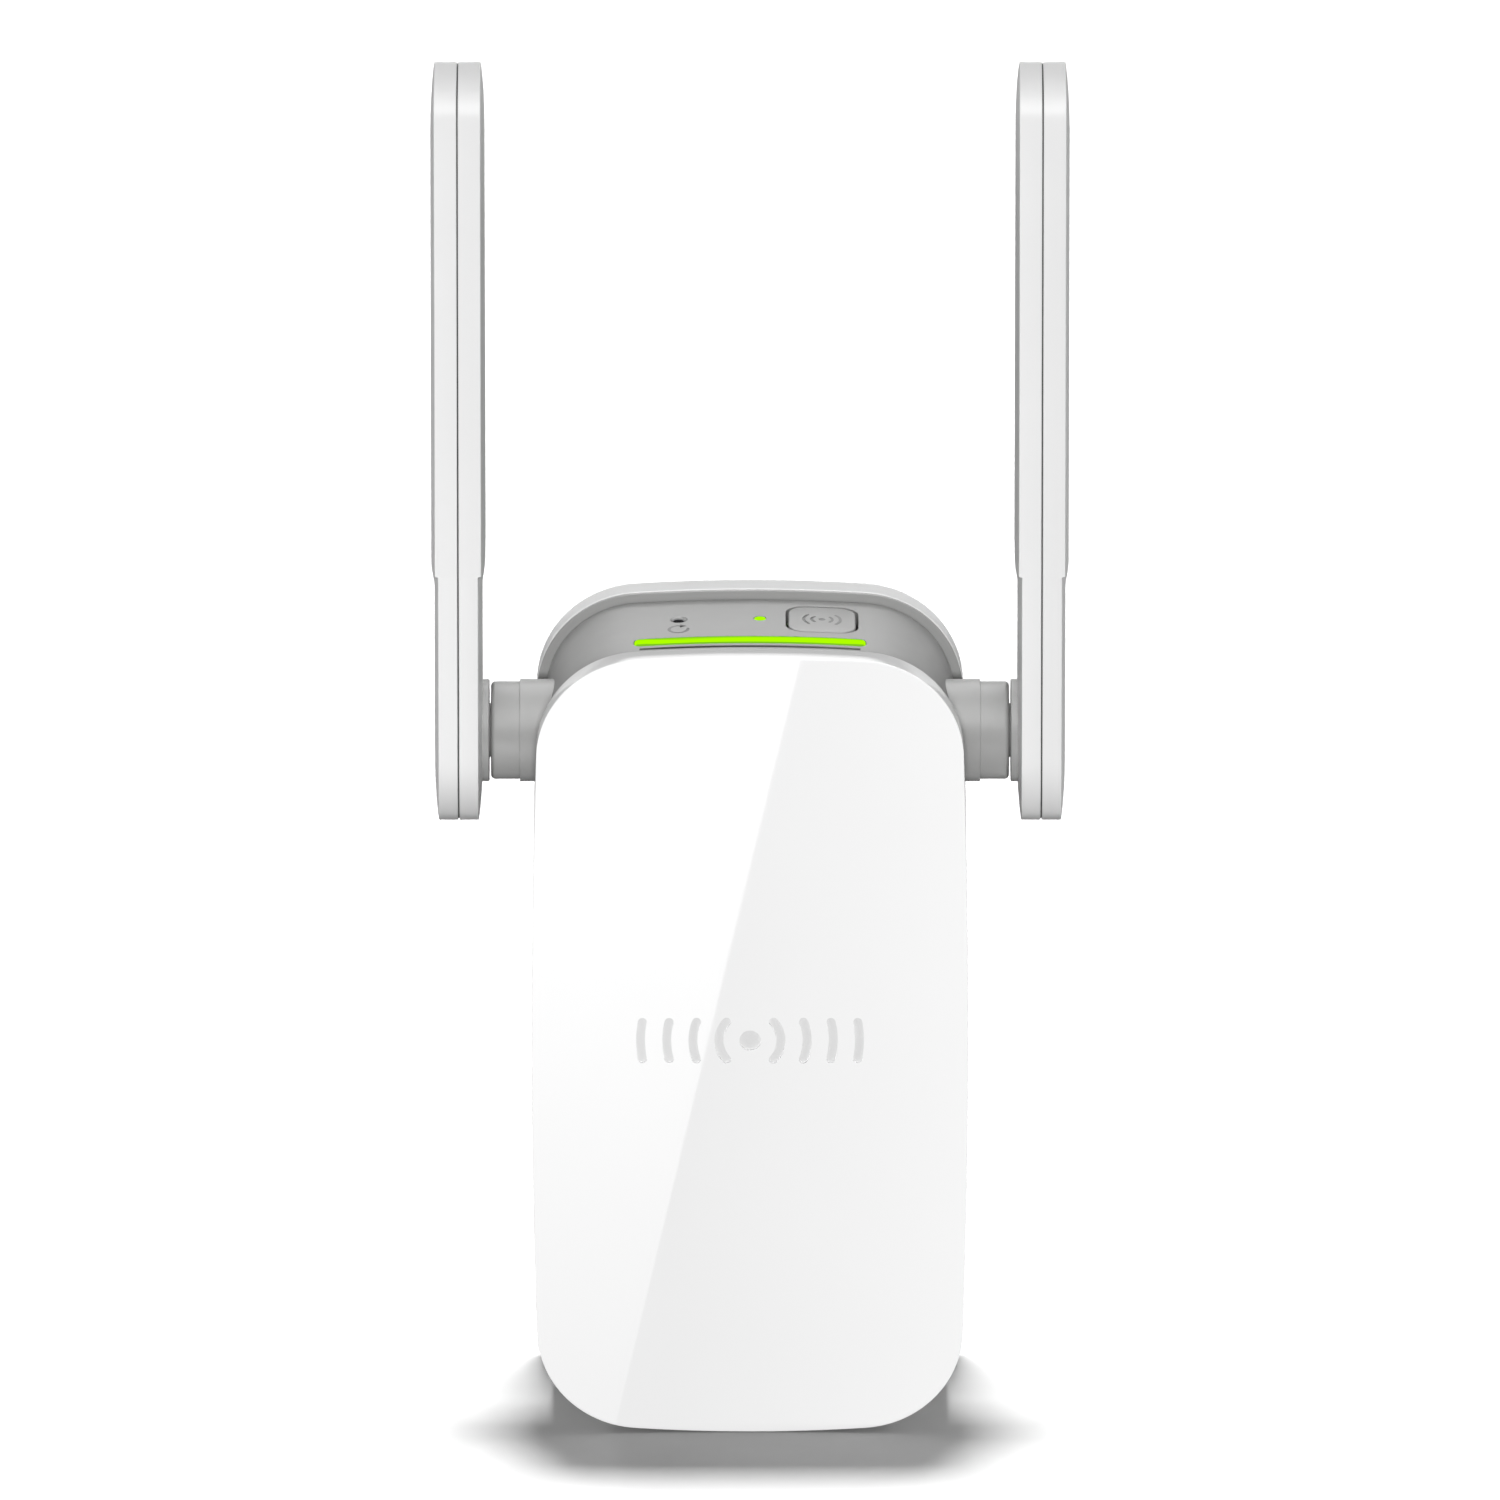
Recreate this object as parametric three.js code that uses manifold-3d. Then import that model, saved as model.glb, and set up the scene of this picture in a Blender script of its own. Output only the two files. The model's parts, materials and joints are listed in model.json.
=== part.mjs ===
// Plug-in wireless range extender: a rounded two-tone case that hangs on a wall outlet by its plug
// blades, with a light bar, a status light, a pairing button and a reset pinhole along its top, a
// network socket underneath and two flat antennas that fold on hinges at its sides.
//
// Units are millimetres. +Z is up, +X is to the right seen from the front, +Y points into the wall.
// The origin is on the wall face, midway between the two plug blades.

import * as THREE from 'three';
import { mergeVertices } from 'three/addons/utils/BufferGeometryUtils.js';
import Module from 'manifold-3d';

// ---------------------------------------------------------------- driving dimensions

// Case outline: four long arcs joined by four tight corner arcs.
const CASE_HALF_WIDTH = 27.5;
const CASE_HALF_HEIGHT = 52.45;
const CASE_DEPTH = 27.8;
const CORNER_RADIUS = 13.2;
const SIDE_ARC_RADIUS = 1300;
const END_ARC_RADIUS = 220;
const CORNER_STEPS = 8;
const SIDE_STEPS = 6;
const END_STEPS = 4;

// Case layers, from the front face back to the wall.
const FRONT_COVER_DEPTH = 3.5;
const REAR_COVER_DEPTH = 3.5;
const COVER_WALL = 1.8;
const COVER_RIM_WALL = 2.2;
const FRAME_RECESS = 1.15;
const FRAME_WALL = 1.8;
const FRAME_FLANGE = 0.4;
const FRAME_FLANGE_INSET = 0.05;
const LAYER_GAP = 0.1;
const PART_GAP = 0.1;

// Controls and lights along the top of the frame.
const CONTROL_ROW_Y = -10.9;
const BUTTON_X = 9.08;
const BUTTON_SIZE = 8.5;
const BUTTON_CORNER = 2.1;
const BUTTON_GAP = 0.35;
const RESET_X = -9.0;
const RESET_HOLE_RADIUS = 0.75;
const RESET_FLARE_RADIUS = 1.1;
const STATUS_X = 1.26;
const STATUS_RADIUS = 0.73;
const LIGHT_BAR_LENGTH = 29.1;
const LIGHT_BAR_WIDTH = 2.4;
const LIGHT_BAR_Y = -18.3;
const REVEAL = { halfLength: 13.9, front: -21.1, back: -20.35, depth: 0.6 };

// Antennas and their hinges. HINGE_* distances run outward from the case's middle plane.
const HINGE_Y = -14;
const HINGE_Z = 37.4;
const HINGE_SEGMENTS = 28;
const COLLAR_RADIUS = 6.45;
const COLLAR_START = 24;
const COLLAR_END = 29;
const SPIGOT_RADIUS = 4.5;
const BARREL_RADIUS = 6.45;
const BARREL_END = 32.65;
const DISC_RADIUS = 6.45;
const DISC_START = 32.85;
const TRUNNION_RADIUS = 3.4;
const TRUNNION_BORE = 2.2;
const TRUNNION_END = 22;
const TRUNNION_CLEARANCE = 0.2;
const CLIP_START = 22.5;
const CLIP_THICKNESS = 0.7;
const CLIP_RADIUS = 5;
const GROOVE_RADIUS = 2.9;
const ANTENNA_X = 36.7;
const ANTENNA_HEEL_RADIUS = 11.3;
const ANTENNA_LENGTH = 87.9;
const ANTENNA_TIP_HALF_DEPTH = 8.3;
const ANTENNA_CROWN_RADIUS = 50;
const ANTENNA_CORNER_RADIUS = 3.3;
const BLADE_HALF_THICKNESS = 3.4;
const GRIP_HALF_THICKNESS = 3;
const GRIP_TOP = 24.9;
const ANTENNA_WALL = 1.2;
const SEAM_GAP = 0.05;
const COAX_RADIUS = 0.6;

// Plug blades of a two-blade mains plug.
const PLUG_PITCH = 12.7;
const PLUG_LENGTH = 17;
const PLUG_WIDTH = 6.35;
const PLUG_THICKNESS = 1.52;
const PLUG_HOLE_RADIUS = 1.59;
const PLUG_HOLE_FROM_TIP = 4.2;
const PLUG_ROOT_Y = -7.2;

// Circuit boards: thickness and the plane of each board's front and back.
const BOARD_THICKNESS = 1.6;
const MAIN_BOARD_FRONT = -16.6;
const MAIN_BOARD_BACK = MAIN_BOARD_FRONT + BOARD_THICKNESS;
const POWER_BOARD_FRONT = -6;
const POWER_BOARD_BACK = POWER_BOARD_FRONT + BOARD_THICKNESS;

// Network socket underneath.
const JACK_HALF_WIDTH = 8;
const JACK_BACK = -4.2;
const JACK_FACE_Z = -49.2;
const JACK_TOP_Z = -35.5;
const JACK_CAVITY = { halfWidth: 5.85, front: -13, back: -6.2, depth: 12 };
const JACK_LATCH = { halfWidth: 3.2, back: -5.1, depth: 9 };

// Case screws.
const SCREW_X = 19.8;
const SCREW_Z = 44.6;
const SCREW_POST_RADIUS = 2.8;
const SCREW_PILOT_RADIUS = 1.05;
const SCREW_SHANK_RADIUS = 0.95;
const SCREW_HEAD_RADIUS = 1.9;

// Planes that follow from the dimensions above.
const FRONT_FACE = -CASE_DEPTH;
const FRONT_COVER_BACK = FRONT_FACE + FRONT_COVER_DEPTH;
const REAR_COVER_FRONT = -REAR_COVER_DEPTH;
const FRAME_FRONT = FRONT_COVER_BACK + LAYER_GAP;
const FRAME_BACK = REAR_COVER_FRONT - LAYER_GAP;
const FRAME_INSIDE = FRAME_RECESS + FRAME_WALL;
const FRAME_TOP_INSIDE = CASE_HALF_HEIGHT - FRAME_INSIDE;
const REACH = 60;

// ---------------------------------------------------------------- materials

function plastic(color, roughness) {
  return new THREE.MeshStandardMaterial({ color, roughness, metalness: 0 });
}

function metal(color, roughness) {
  return new THREE.MeshStandardMaterial({ color, roughness, metalness: 1 });
}

const MATERIALS = {
  whiteGloss: plastic(0xf6f6f6, 0.12),
  whiteSatin: plastic(0xe8e8e8, 0.4),
  greySatin: plastic(0xa9a9a8, 0.5),
  greenLens: plastic(0xa8fb03, 0.3),
  labelGrey: plastic(0xc9c9c9, 0.6),
  boardGreen: plastic(0x1f6b3a, 0.55),
  blackPlastic: plastic(0x1c1c1e, 0.5),
  creamPlastic: plastic(0xd8d2c0, 0.5),
  capacitorSleeve: plastic(0x22304f, 0.4),
  yellowTape: plastic(0xd9b53a, 0.45),
  ferrite: plastic(0x3a3a3d, 0.7),
  blueDisc: plastic(0x2c5fa8, 0.5),
  ledBody: plastic(0xf2efd8, 0.4),
  coaxJacket: plastic(0x2a2a2c, 0.5),
  plating: metal(0xd6d3cc, 0.3),
  tin: metal(0xb9bbbd, 0.4),
  aluminium: metal(0xc4c6c8, 0.45),
  gold: metal(0xd8b25a, 0.3),
  zincScrew: metal(0x8f9297, 0.4),
};

// ---------------------------------------------------------------- solids

const wasm = await Module();
wasm.setup();

function signedVolume(geometry) {
  const position = geometry.attributes.position;
  const index = geometry.index.array;
  const a = new THREE.Vector3();
  const b = new THREE.Vector3();
  const c = new THREE.Vector3();
  let total = 0;
  for (let i = 0; i < index.length; i += 3) {
    a.fromBufferAttribute(position, index[i]);
    b.fromBufferAttribute(position, index[i + 1]);
    c.fromBufferAttribute(position, index[i + 2]);
    total += a.dot(b.cross(c)) / 6;
  }
  return total;
}

// Merges shared corners and turns every face outward.
function sealed(geometry) {
  const bare = geometry.clone();
  bare.deleteAttribute('normal');
  bare.deleteAttribute('uv');
  const merged = mergeVertices(bare, 1e-4);
  if (signedVolume(merged) < 0) {
    const index = merged.index.array;
    for (let i = 0; i < index.length; i += 3) {
      const first = index[i];
      index[i] = index[i + 1];
      index[i + 1] = first;
    }
  }
  return merged;
}

function toSolid(geometry) {
  const closed = sealed(geometry);
  return new wasm.Manifold(new wasm.Mesh({
    numProp: 3,
    vertProperties: closed.attributes.position.array,
    triVerts: Uint32Array.from(closed.index.array),
  }));
}

function toGeometry(solid) {
  const mesh = solid.getMesh();
  const geometry = new THREE.BufferGeometry();
  geometry.setAttribute('position', new THREE.BufferAttribute(mesh.vertProperties, 3));
  geometry.setIndex(new THREE.BufferAttribute(mesh.triVerts, 1));
  return geometry;
}

function joined(base, ...others) {
  return toGeometry(others.reduce((sum, other) => sum.add(toSolid(other)), toSolid(base)));
}

function cut(base, ...tools) {
  return toGeometry(tools.reduce((rest, tool) => rest.subtract(toSolid(tool)), toSolid(base)));
}

function shared(base, other) {
  return toGeometry(toSolid(base).intersect(toSolid(other)));
}

// ---------------------------------------------------------------- basic shapes

// A box between two opposite corners.
function block(x0, x1, y0, y1, z0, z1) {
  const box = new THREE.BoxGeometry(x1 - x0, y1 - y0, z1 - z0);
  return box.translate((x0 + x1) / 2, (y0 + y1) / 2, (z0 + z1) / 2);
}

// A cylinder along one axis, between two places on it, centred on the other two coordinates.
function rod(axis, radius, from, to, centre, segments = 20) {
  const cylinder = new THREE.CylinderGeometry(radius, radius, to - from, segments);
  if (axis === 'x') {
    cylinder.rotateZ(-Math.PI / 2);
    return cylinder.translate((from + to) / 2, centre[0], centre[1]);
  }
  if (axis === 'z') {
    cylinder.rotateX(Math.PI / 2);
    return cylinder.translate(centre[0], centre[1], (from + to) / 2);
  }
  return cylinder.translate(centre[0], (from + to) / 2, centre[1]);
}

// A body of revolution about the hinge line: its profile is a list of [radius, distance outward].
function turnedOnHinge(profile, segments = HINGE_SEGMENTS) {
  const points = [...profile, profile[0]].map(([radius, along]) => new THREE.Vector2(radius, along));
  const body = new THREE.LatheGeometry(points, segments);
  body.rotateZ(-Math.PI / 2);
  return body.translate(0, HINGE_Y, HINGE_Z);
}

// A body of revolution about a line along +Y through (x, z): its profile is a list of [radius, y].
function turnedOnY(profile, x, z, segments = 20) {
  const points = profile.map(([radius, along]) => new THREE.Vector2(radius, along));
  return new THREE.LatheGeometry(points, segments).translate(x, 0, z);
}

// A round lead that follows a smooth curve through the given points.
function lead(points, radius, steps) {
  const section = new THREE.Shape();
  section.absarc(0, 0, radius, 0, 2 * Math.PI);
  const path = new THREE.CatmullRomCurve3(points.map((point) => new THREE.Vector3(...point)));
  return new THREE.ExtrudeGeometry(section, { steps, curveSegments: 4, extrudePath: path });
}

// A rounded rectangle in the XY plane, extruded along +Z.
function roundedPad(x, y, width, length, corner, z0, z1, steps = 4) {
  const pad = new THREE.Shape();
  const right = width / 2 - corner;
  const back = length / 2 - corner;
  pad.absarc(right, back, corner, 0, Math.PI / 2);
  pad.absarc(-right, back, corner, Math.PI / 2, Math.PI);
  pad.absarc(-right, -back, corner, Math.PI, 1.5 * Math.PI);
  pad.absarc(right, -back, corner, 1.5 * Math.PI, 2 * Math.PI);
  const options = { depth: z1 - z0, bevelEnabled: false, curveSegments: steps };
  return new THREE.ExtrudeGeometry(pad, options).translate(x, y, z0);
}

// Skins a stack of loops of equal length. A capped stack is closed by its first and last loop,
// and a ringed stack joins its last loop to its first.
function skin(loops, ringed = false) {
  const count = loops[0].length;
  const bands = ringed ? loops.length : loops.length - 1;
  const faces = [];
  for (let band = 0; band < bands; band += 1) {
    const here = band * count;
    const next = ((band + 1) % loops.length) * count;
    for (let i = 0; i < count; i += 1) {
      const j = (i + 1) % count;
      faces.push(here + i, here + j, next + j);
      faces.push(here + i, next + j, next + i);
    }
  }
  if (!ringed) {
    const last = (loops.length - 1) * count;
    for (let i = 1; i < count - 1; i += 1) {
      faces.push(0, i + 1, i);
      faces.push(last, last + i, last + i + 1);
    }
  }
  const geometry = new THREE.BufferGeometry();
  const corners = loops.flat().flatMap((point) => point.toArray());
  geometry.setAttribute('position', new THREE.Float32BufferAttribute(corners, 3));
  geometry.setIndex(faces);
  return geometry;
}

// Points along an arc, without its last point, which is where the next arc starts.
function arc(centreX, centreY, radius, from, to, steps) {
  return Array.from({ length: steps }, (_, i) => {
    const angle = from + ((to - from) * i) / steps;
    return [centreX + radius * Math.cos(angle), centreY + radius * Math.sin(angle)];
  });
}

// ---------------------------------------------------------------- case outline

// The corner arcs' centres and the angles at which the long arcs meet them.
function caseArcs() {
  const sideReach = SIDE_ARC_RADIUS - CORNER_RADIUS;
  const endReach = END_ARC_RADIUS - CORNER_RADIUS;
  let cornerX = CASE_HALF_WIDTH - CORNER_RADIUS;
  let cornerZ = CASE_HALF_HEIGHT - CORNER_RADIUS;
  for (let pass = 0; pass < 8; pass += 1) {
    cornerX = CASE_HALF_WIDTH - SIDE_ARC_RADIUS + Math.sqrt(sideReach ** 2 - cornerZ ** 2);
    cornerZ = CASE_HALF_HEIGHT - END_ARC_RADIUS + Math.sqrt(endReach ** 2 - cornerX ** 2);
  }
  return {
    cornerX,
    cornerZ,
    sideTilt: Math.asin(cornerZ / sideReach),
    endTilt: Math.asin(cornerX / endReach),
  };
}

const CASE_ARCS = caseArcs();

// The case outline moved inward by an even distance, as [x, z] points.
function caseOutline(inset) {
  const { cornerX, cornerZ, sideTilt, endTilt } = CASE_ARCS;
  const quarters = [0, 1, 2, 3].map((quarter) => {
    const onSide = quarter % 2 === 0;
    const facing = (quarter * Math.PI) / 2;
    const tilt = onSide ? sideTilt : endTilt;
    const nextTilt = onSide ? endTilt : sideTilt;
    const radius = onSide ? SIDE_ARC_RADIUS : END_ARC_RADIUS;
    const centre = (onSide ? CASE_HALF_WIDTH : CASE_HALF_HEIGHT) - radius;
    const cornerSignX = Math.sign(Math.cos(facing + Math.PI / 4));
    const cornerSignZ = Math.sign(Math.sin(facing + Math.PI / 4));
    return [
      ...arc(Math.cos(facing) * centre, Math.sin(facing) * centre, radius - inset,
        facing - tilt, facing + tilt, onSide ? SIDE_STEPS : END_STEPS),
      ...arc(cornerSignX * cornerX, cornerSignZ * cornerZ, CORNER_RADIUS - inset,
        facing + tilt, facing + Math.PI / 2 - nextTilt, CORNER_STEPS),
    ];
  });
  return quarters.flat();
}

// Stacks case outlines: the profile is a list of [inset, y].
function caseSkin(profile, ringed = false) {
  const loops = profile.map(([inset, y]) => (
    caseOutline(inset).map(([x, z]) => new THREE.Vector3(x, y, z))
  ));
  return skin(loops, ringed);
}

// The z of the frame's outer surface above the control row, at a given x.
function frameTopAt(x) {
  const radius = END_ARC_RADIUS - FRAME_RECESS;
  return CASE_HALF_HEIGHT - END_ARC_RADIUS + Math.sqrt(radius ** 2 - x ** 2);
}

// Everything within the frame's outer surface grown by a small amount, to trim flush pieces.
function insideFrameSurface(grown) {
  return caseSkin([[FRAME_RECESS - grown, FRAME_FRONT], [FRAME_RECESS - grown, FRAME_BACK]]);
}

// ---------------------------------------------------------------- case

function frontCover() {
  const shell = caseSkin([
    [COVER_RIM_WALL, FRONT_FACE + COVER_WALL],
    [COVER_RIM_WALL, FRONT_COVER_BACK],
    [0.2, FRONT_COVER_BACK],
    [0, FRONT_COVER_BACK - 0.2],
    [0, FRONT_FACE + 0.55],
    [0.16, FRONT_FACE + 0.16],
    [0.55, FRONT_FACE],
  ]);
  const clips = [-1, 1].flatMap((side) => [-22, 22].map((z) => {
    const wall = CASE_HALF_WIDTH - FRAME_INSIDE - 0.5;
    const inner = side * (wall - 1.2);
    const outer = side * wall;
    return block(Math.min(inner, outer), Math.max(inner, outer),
      FRONT_FACE + COVER_WALL - 0.4, FRAME_FRONT + 3, z - 3, z + 3);
  }));
  return joined(shell, ...clips);
}

function buttonPad(grown, z0, z1) {
  const size = BUTTON_SIZE + 2 * grown;
  return roundedPad(BUTTON_X, CONTROL_ROW_Y, size, size, BUTTON_CORNER + grown, z0, z1);
}

function lightBarBlank(grown, z0, z1) {
  const halfLength = LIGHT_BAR_LENGTH / 2 + grown;
  const halfWidth = LIGHT_BAR_WIDTH / 2 + grown;
  return block(-halfLength, halfLength, LIGHT_BAR_Y - halfWidth, LIGHT_BAR_Y + halfWidth, z0, z1);
}

function screwPlaces() {
  return [-1, 1].flatMap((sideX) => [-1, 1].map((sideZ) => [sideX * SCREW_X, sideZ * SCREW_Z]));
}

function middleFrame() {
  const wall = caseSkin([
    [FRAME_INSIDE, FRAME_FRONT],
    [FRAME_RECESS, FRAME_FRONT],
    [FRAME_RECESS, FRAME_BACK - FRAME_FLANGE],
    [FRAME_FLANGE_INSET, FRAME_BACK - FRAME_FLANGE],
    [FRAME_FLANGE_INSET, FRAME_BACK],
    [FRAME_INSIDE, FRAME_BACK],
  ], true);
  const posts = screwPlaces().map(([x, z]) => (
    rod('y', SCREW_POST_RADIUS, FRAME_FRONT + 1, FRAME_BACK - 0.6, [x, z], 16)
  ));
  const collars = [-1, 1].map((side) => {
    const from = Math.min(side * COLLAR_START, side * COLLAR_END);
    return rod('x', COLLAR_RADIUS, from, from + COLLAR_END - COLLAR_START,
      [HINGE_Y, HINGE_Z], HINGE_SEGMENTS);
  });
  const bores = [-1, 1].map((side) => {
    const from = Math.min(side * (COLLAR_START - 4), side * (COLLAR_END + 1));
    return rod('x', SPIGOT_RADIUS + PART_GAP, from, from + COLLAR_END - COLLAR_START + 5,
      [HINGE_Y, HINGE_Z], HINGE_SEGMENTS);
  });
  const pilots = screwPlaces().map(([x, z]) => rod('y', SCREW_PILOT_RADIUS, -15, 0, [x, z], 12));
  const flare = new THREE.CylinderGeometry(RESET_FLARE_RADIUS + 0.4, RESET_HOLE_RADIUS, 0.8, 20);
  flare.rotateX(Math.PI / 2);
  flare.translate(RESET_X, CONTROL_ROW_Y, frameTopAt(RESET_X));
  const jackWay = block(-JACK_CAVITY.halfWidth - 0.5, JACK_CAVITY.halfWidth + 0.5,
    JACK_CAVITY.front - 0.5, JACK_LATCH.back + 0.4, -REACH, -FRAME_TOP_INSIDE + 3);
  const reveal = block(-REVEAL.halfLength, REVEAL.halfLength, REVEAL.front, REVEAL.back,
    frameTopAt(REVEAL.halfLength) - REVEAL.depth, REACH);
  return cut(
    joined(wall, ...posts, ...collars),
    ...bores,
    ...pilots,
    buttonPad(BUTTON_GAP, 40, REACH),
    lightBarBlank(PART_GAP, 40, REACH),
    rod('z', STATUS_RADIUS + PART_GAP, 40, REACH, [STATUS_X, CONTROL_ROW_Y], 16),
    rod('z', RESET_HOLE_RADIUS, 40, REACH, [RESET_X, CONTROL_ROW_Y], 20),
    flare,
    reveal,
    jackWay,
  );
}

function rearCover() {
  const shell = caseSkin([
    [COVER_RIM_WALL, -COVER_WALL],
    [COVER_RIM_WALL, REAR_COVER_FRONT],
    [0.2, REAR_COVER_FRONT],
    [0, REAR_COVER_FRONT + 0.2],
    [0, -1.2],
    [0.35, -0.35],
    [1.2, 0],
  ]);
  const seats = screwPlaces().map(([x, z]) => (
    rod('y', SCREW_HEAD_RADIUS + 1.2, REAR_COVER_FRONT, -COVER_WALL + 0.4, [x, z], 16)
  ));
  const bladeSlots = [-1, 1].map((side) => {
    const x = (side * PLUG_PITCH) / 2;
    const halfThickness = PLUG_THICKNESS / 2 + PART_GAP;
    const halfWidth = PLUG_WIDTH / 2 + PART_GAP;
    return block(x - halfThickness, x + halfThickness, -5, 5, -halfWidth, halfWidth);
  });
  const vents = [-1, 1].flatMap((side) => [0, 1, 2, 3, 4].map((row) => {
    const z = 16 + 3.4 * row;
    const inner = side * 3;
    const outer = side * 17;
    return block(Math.min(inner, outer), Math.max(inner, outer), -5, 5, z, z + 1.4);
  }));
  const heads = screwPlaces().map(([x, z]) => rod('y', SCREW_HEAD_RADIUS + 0.2, -2.2, 5, [x, z], 16));
  const shanks = screwPlaces().map(([x, z]) => rod('y', SCREW_SHANK_RADIUS + 0.25, -9, 5, [x, z], 12));
  const labelSeat = block(-16.2, 16.2, -0.35, 5, -34.2, -11.8);
  return cut(joined(shell, ...seats), ...bladeSlots, ...vents, ...heads, ...shanks, labelSeat);
}

function rearLabel() {
  return block(-16, 16, -0.3, -0.1, -34, -12);
}

function caseScrew(x, z) {
  return turnedOnY([
    [0, -13.5],
    [0.3, -13.4],
    [SCREW_SHANK_RADIUS, -12.2],
    [SCREW_SHANK_RADIUS, -2.1],
    [SCREW_HEAD_RADIUS, -2.1],
    [SCREW_HEAD_RADIUS, -1.3],
    [1.2, -0.8],
    [0, -0.8],
  ], x, z, 16);
}

// ---------------------------------------------------------------- lights and controls

function lightBar() {
  const flange = block(-LIGHT_BAR_LENGTH / 2 - 0.8, LIGHT_BAR_LENGTH / 2 + 0.8,
    LIGHT_BAR_Y - 1.9, LIGHT_BAR_Y + 1.6, 47.6, 48.8);
  const bar = shared(lightBarBlank(0, 46.5, REACH), insideFrameSurface(0.12));
  return joined(bar, flange);
}

function statusLens() {
  const top = frameTopAt(STATUS_X) + 0.1;
  const stem = rod('z', STATUS_RADIUS, 46, top, [STATUS_X, CONTROL_ROW_Y], 16);
  const collar = rod('z', STATUS_RADIUS + 0.7, 48, 48.9, [STATUS_X, CONTROL_ROW_Y], 16);
  return joined(stem, collar);
}

function buttonCap() {
  const cap = shared(buttonPad(0, 48.2, REACH), insideFrameSurface(0.1));
  const lip = buttonPad(1, 47.9, 48.7);
  const post = block(BUTTON_X - 1.4, BUTTON_X + 1.4, CONTROL_ROW_Y - 1.4, CONTROL_ROW_Y + 1.4, 46.4, 48.3);
  return joined(cap, lip, post);
}

const SWITCH_HALF = 3;
const SWITCH_BOTTOM = 40.6;
const SWITCH_TOP = 44.5;

function switchBody(x) {
  const body = block(x - SWITCH_HALF, x + SWITCH_HALF, MAIN_BOARD_BACK + PART_GAP,
    CONTROL_ROW_Y + SWITCH_HALF, SWITCH_BOTTOM, SWITCH_TOP);
  return cut(body, rod('z', 1.6, SWITCH_TOP - 1.4, SWITCH_TOP + 1, [x, CONTROL_ROW_Y], 16));
}

function switchStem(x, radius, top) {
  return rod('z', radius, SWITCH_TOP - 0.7, top, [x, CONTROL_ROW_Y], 16);
}

// ---------------------------------------------------------------- boards and what they carry

function mainBoard() {
  return cut(
    block(-21, 21, MAIN_BOARD_FRONT, MAIN_BOARD_BACK, -47, 46),
    ...[-1, 1].flatMap((sideX) => [-1, 1].map((sideZ) => (
      block(sideX * 19.5 - 3.5, sideX * 19.5 + 3.5, -20, -10, sideZ * 45 - 4.5, sideZ * 45 + 4.5)
    ))),
  );
}

function powerBoard() {
  const slots = [-1, 1].map((side) => {
    const x = (side * PLUG_PITCH) / 2;
    return block(x - 0.9, x + 0.9, -10, 0, -3.4, 3.4);
  });
  return cut(block(-20, 20, POWER_BOARD_FRONT, POWER_BOARD_BACK, -28, 28), ...slots);
}

function shieldCan() {
  const outer = block(-14, 14, -20.6, MAIN_BOARD_FRONT - PART_GAP, -8, 24);
  const inner = block(-13.7, 13.7, -20.3, MAIN_BOARD_FRONT + 1, -7.7, 23.7);
  return cut(outer, inner);
}

function heatSpreader() {
  const fins = [0, 1, 2, 3, 4, 5].map((row) => block(-14.5, 14.5, -23.6, -22, -8 + 6 * row, -6.8 + 6 * row));
  return joined(block(-14.5, 14.5, -22.2, -20.8, -9, 25), ...fins);
}

function ethernetJack() {
  const body = block(-JACK_HALF_WIDTH, JACK_HALF_WIDTH, MAIN_BOARD_BACK + PART_GAP, JACK_BACK,
    JACK_FACE_Z, JACK_TOP_Z);
  const mouth = block(-JACK_CAVITY.halfWidth, JACK_CAVITY.halfWidth, JACK_CAVITY.front,
    JACK_CAVITY.back, JACK_FACE_Z - 1, JACK_FACE_Z + JACK_CAVITY.depth);
  const latch = block(-JACK_LATCH.halfWidth, JACK_LATCH.halfWidth, JACK_CAVITY.back - 0.5,
    JACK_LATCH.back, JACK_FACE_Z - 1, JACK_FACE_Z + JACK_LATCH.depth);
  return cut(body, mouth, latch);
}

// Eight contact fingers joined by the bar that holds them at the back of the socket.
function jackContacts() {
  const pitch = 1.02;
  const front = JACK_CAVITY.front + PART_GAP;
  const deep = JACK_FACE_Z + JACK_CAVITY.depth - PART_GAP;
  const bar = block(-4.2, 4.2, front, front + 0.6, deep - 0.8, deep);
  const fingers = Array.from({ length: 8 }, (_, i) => {
    const x = (i - 3.5) * pitch;
    return block(x - 0.2, x + 0.2, front, front + 0.4, JACK_FACE_Z + 2.5, deep - 0.5);
  });
  return joined(bar, ...fingers);
}

function transformerCore() {
  const yoke = block(1, 16, -12.6, -7.6, -21, -7);
  return cut(yoke, block(4, 13, -20, 0, -19, -16.2), block(4, 13, -20, 0, -11.8, -9));
}

function transformerWinding() {
  return cut(block(4.2, 12.8, -14.2, -6.2, -18.8, -9.2), block(0, 20, -12.8, -7.4, -16.4, -11.6));
}

function drumChoke() {
  const drum = [[0, -18], [3.4, -18], [3.4, -17], [2.5, -16.6], [2.5, -12.4], [3.4, -12], [3.4, -11], [0, -11]];
  const points = drum.map(([radius, along]) => new THREE.Vector2(radius, along));
  return new THREE.LatheGeometry(points, 20).rotateX(Math.PI / 2).translate(-3.5, -9.7, 0);
}

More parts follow.
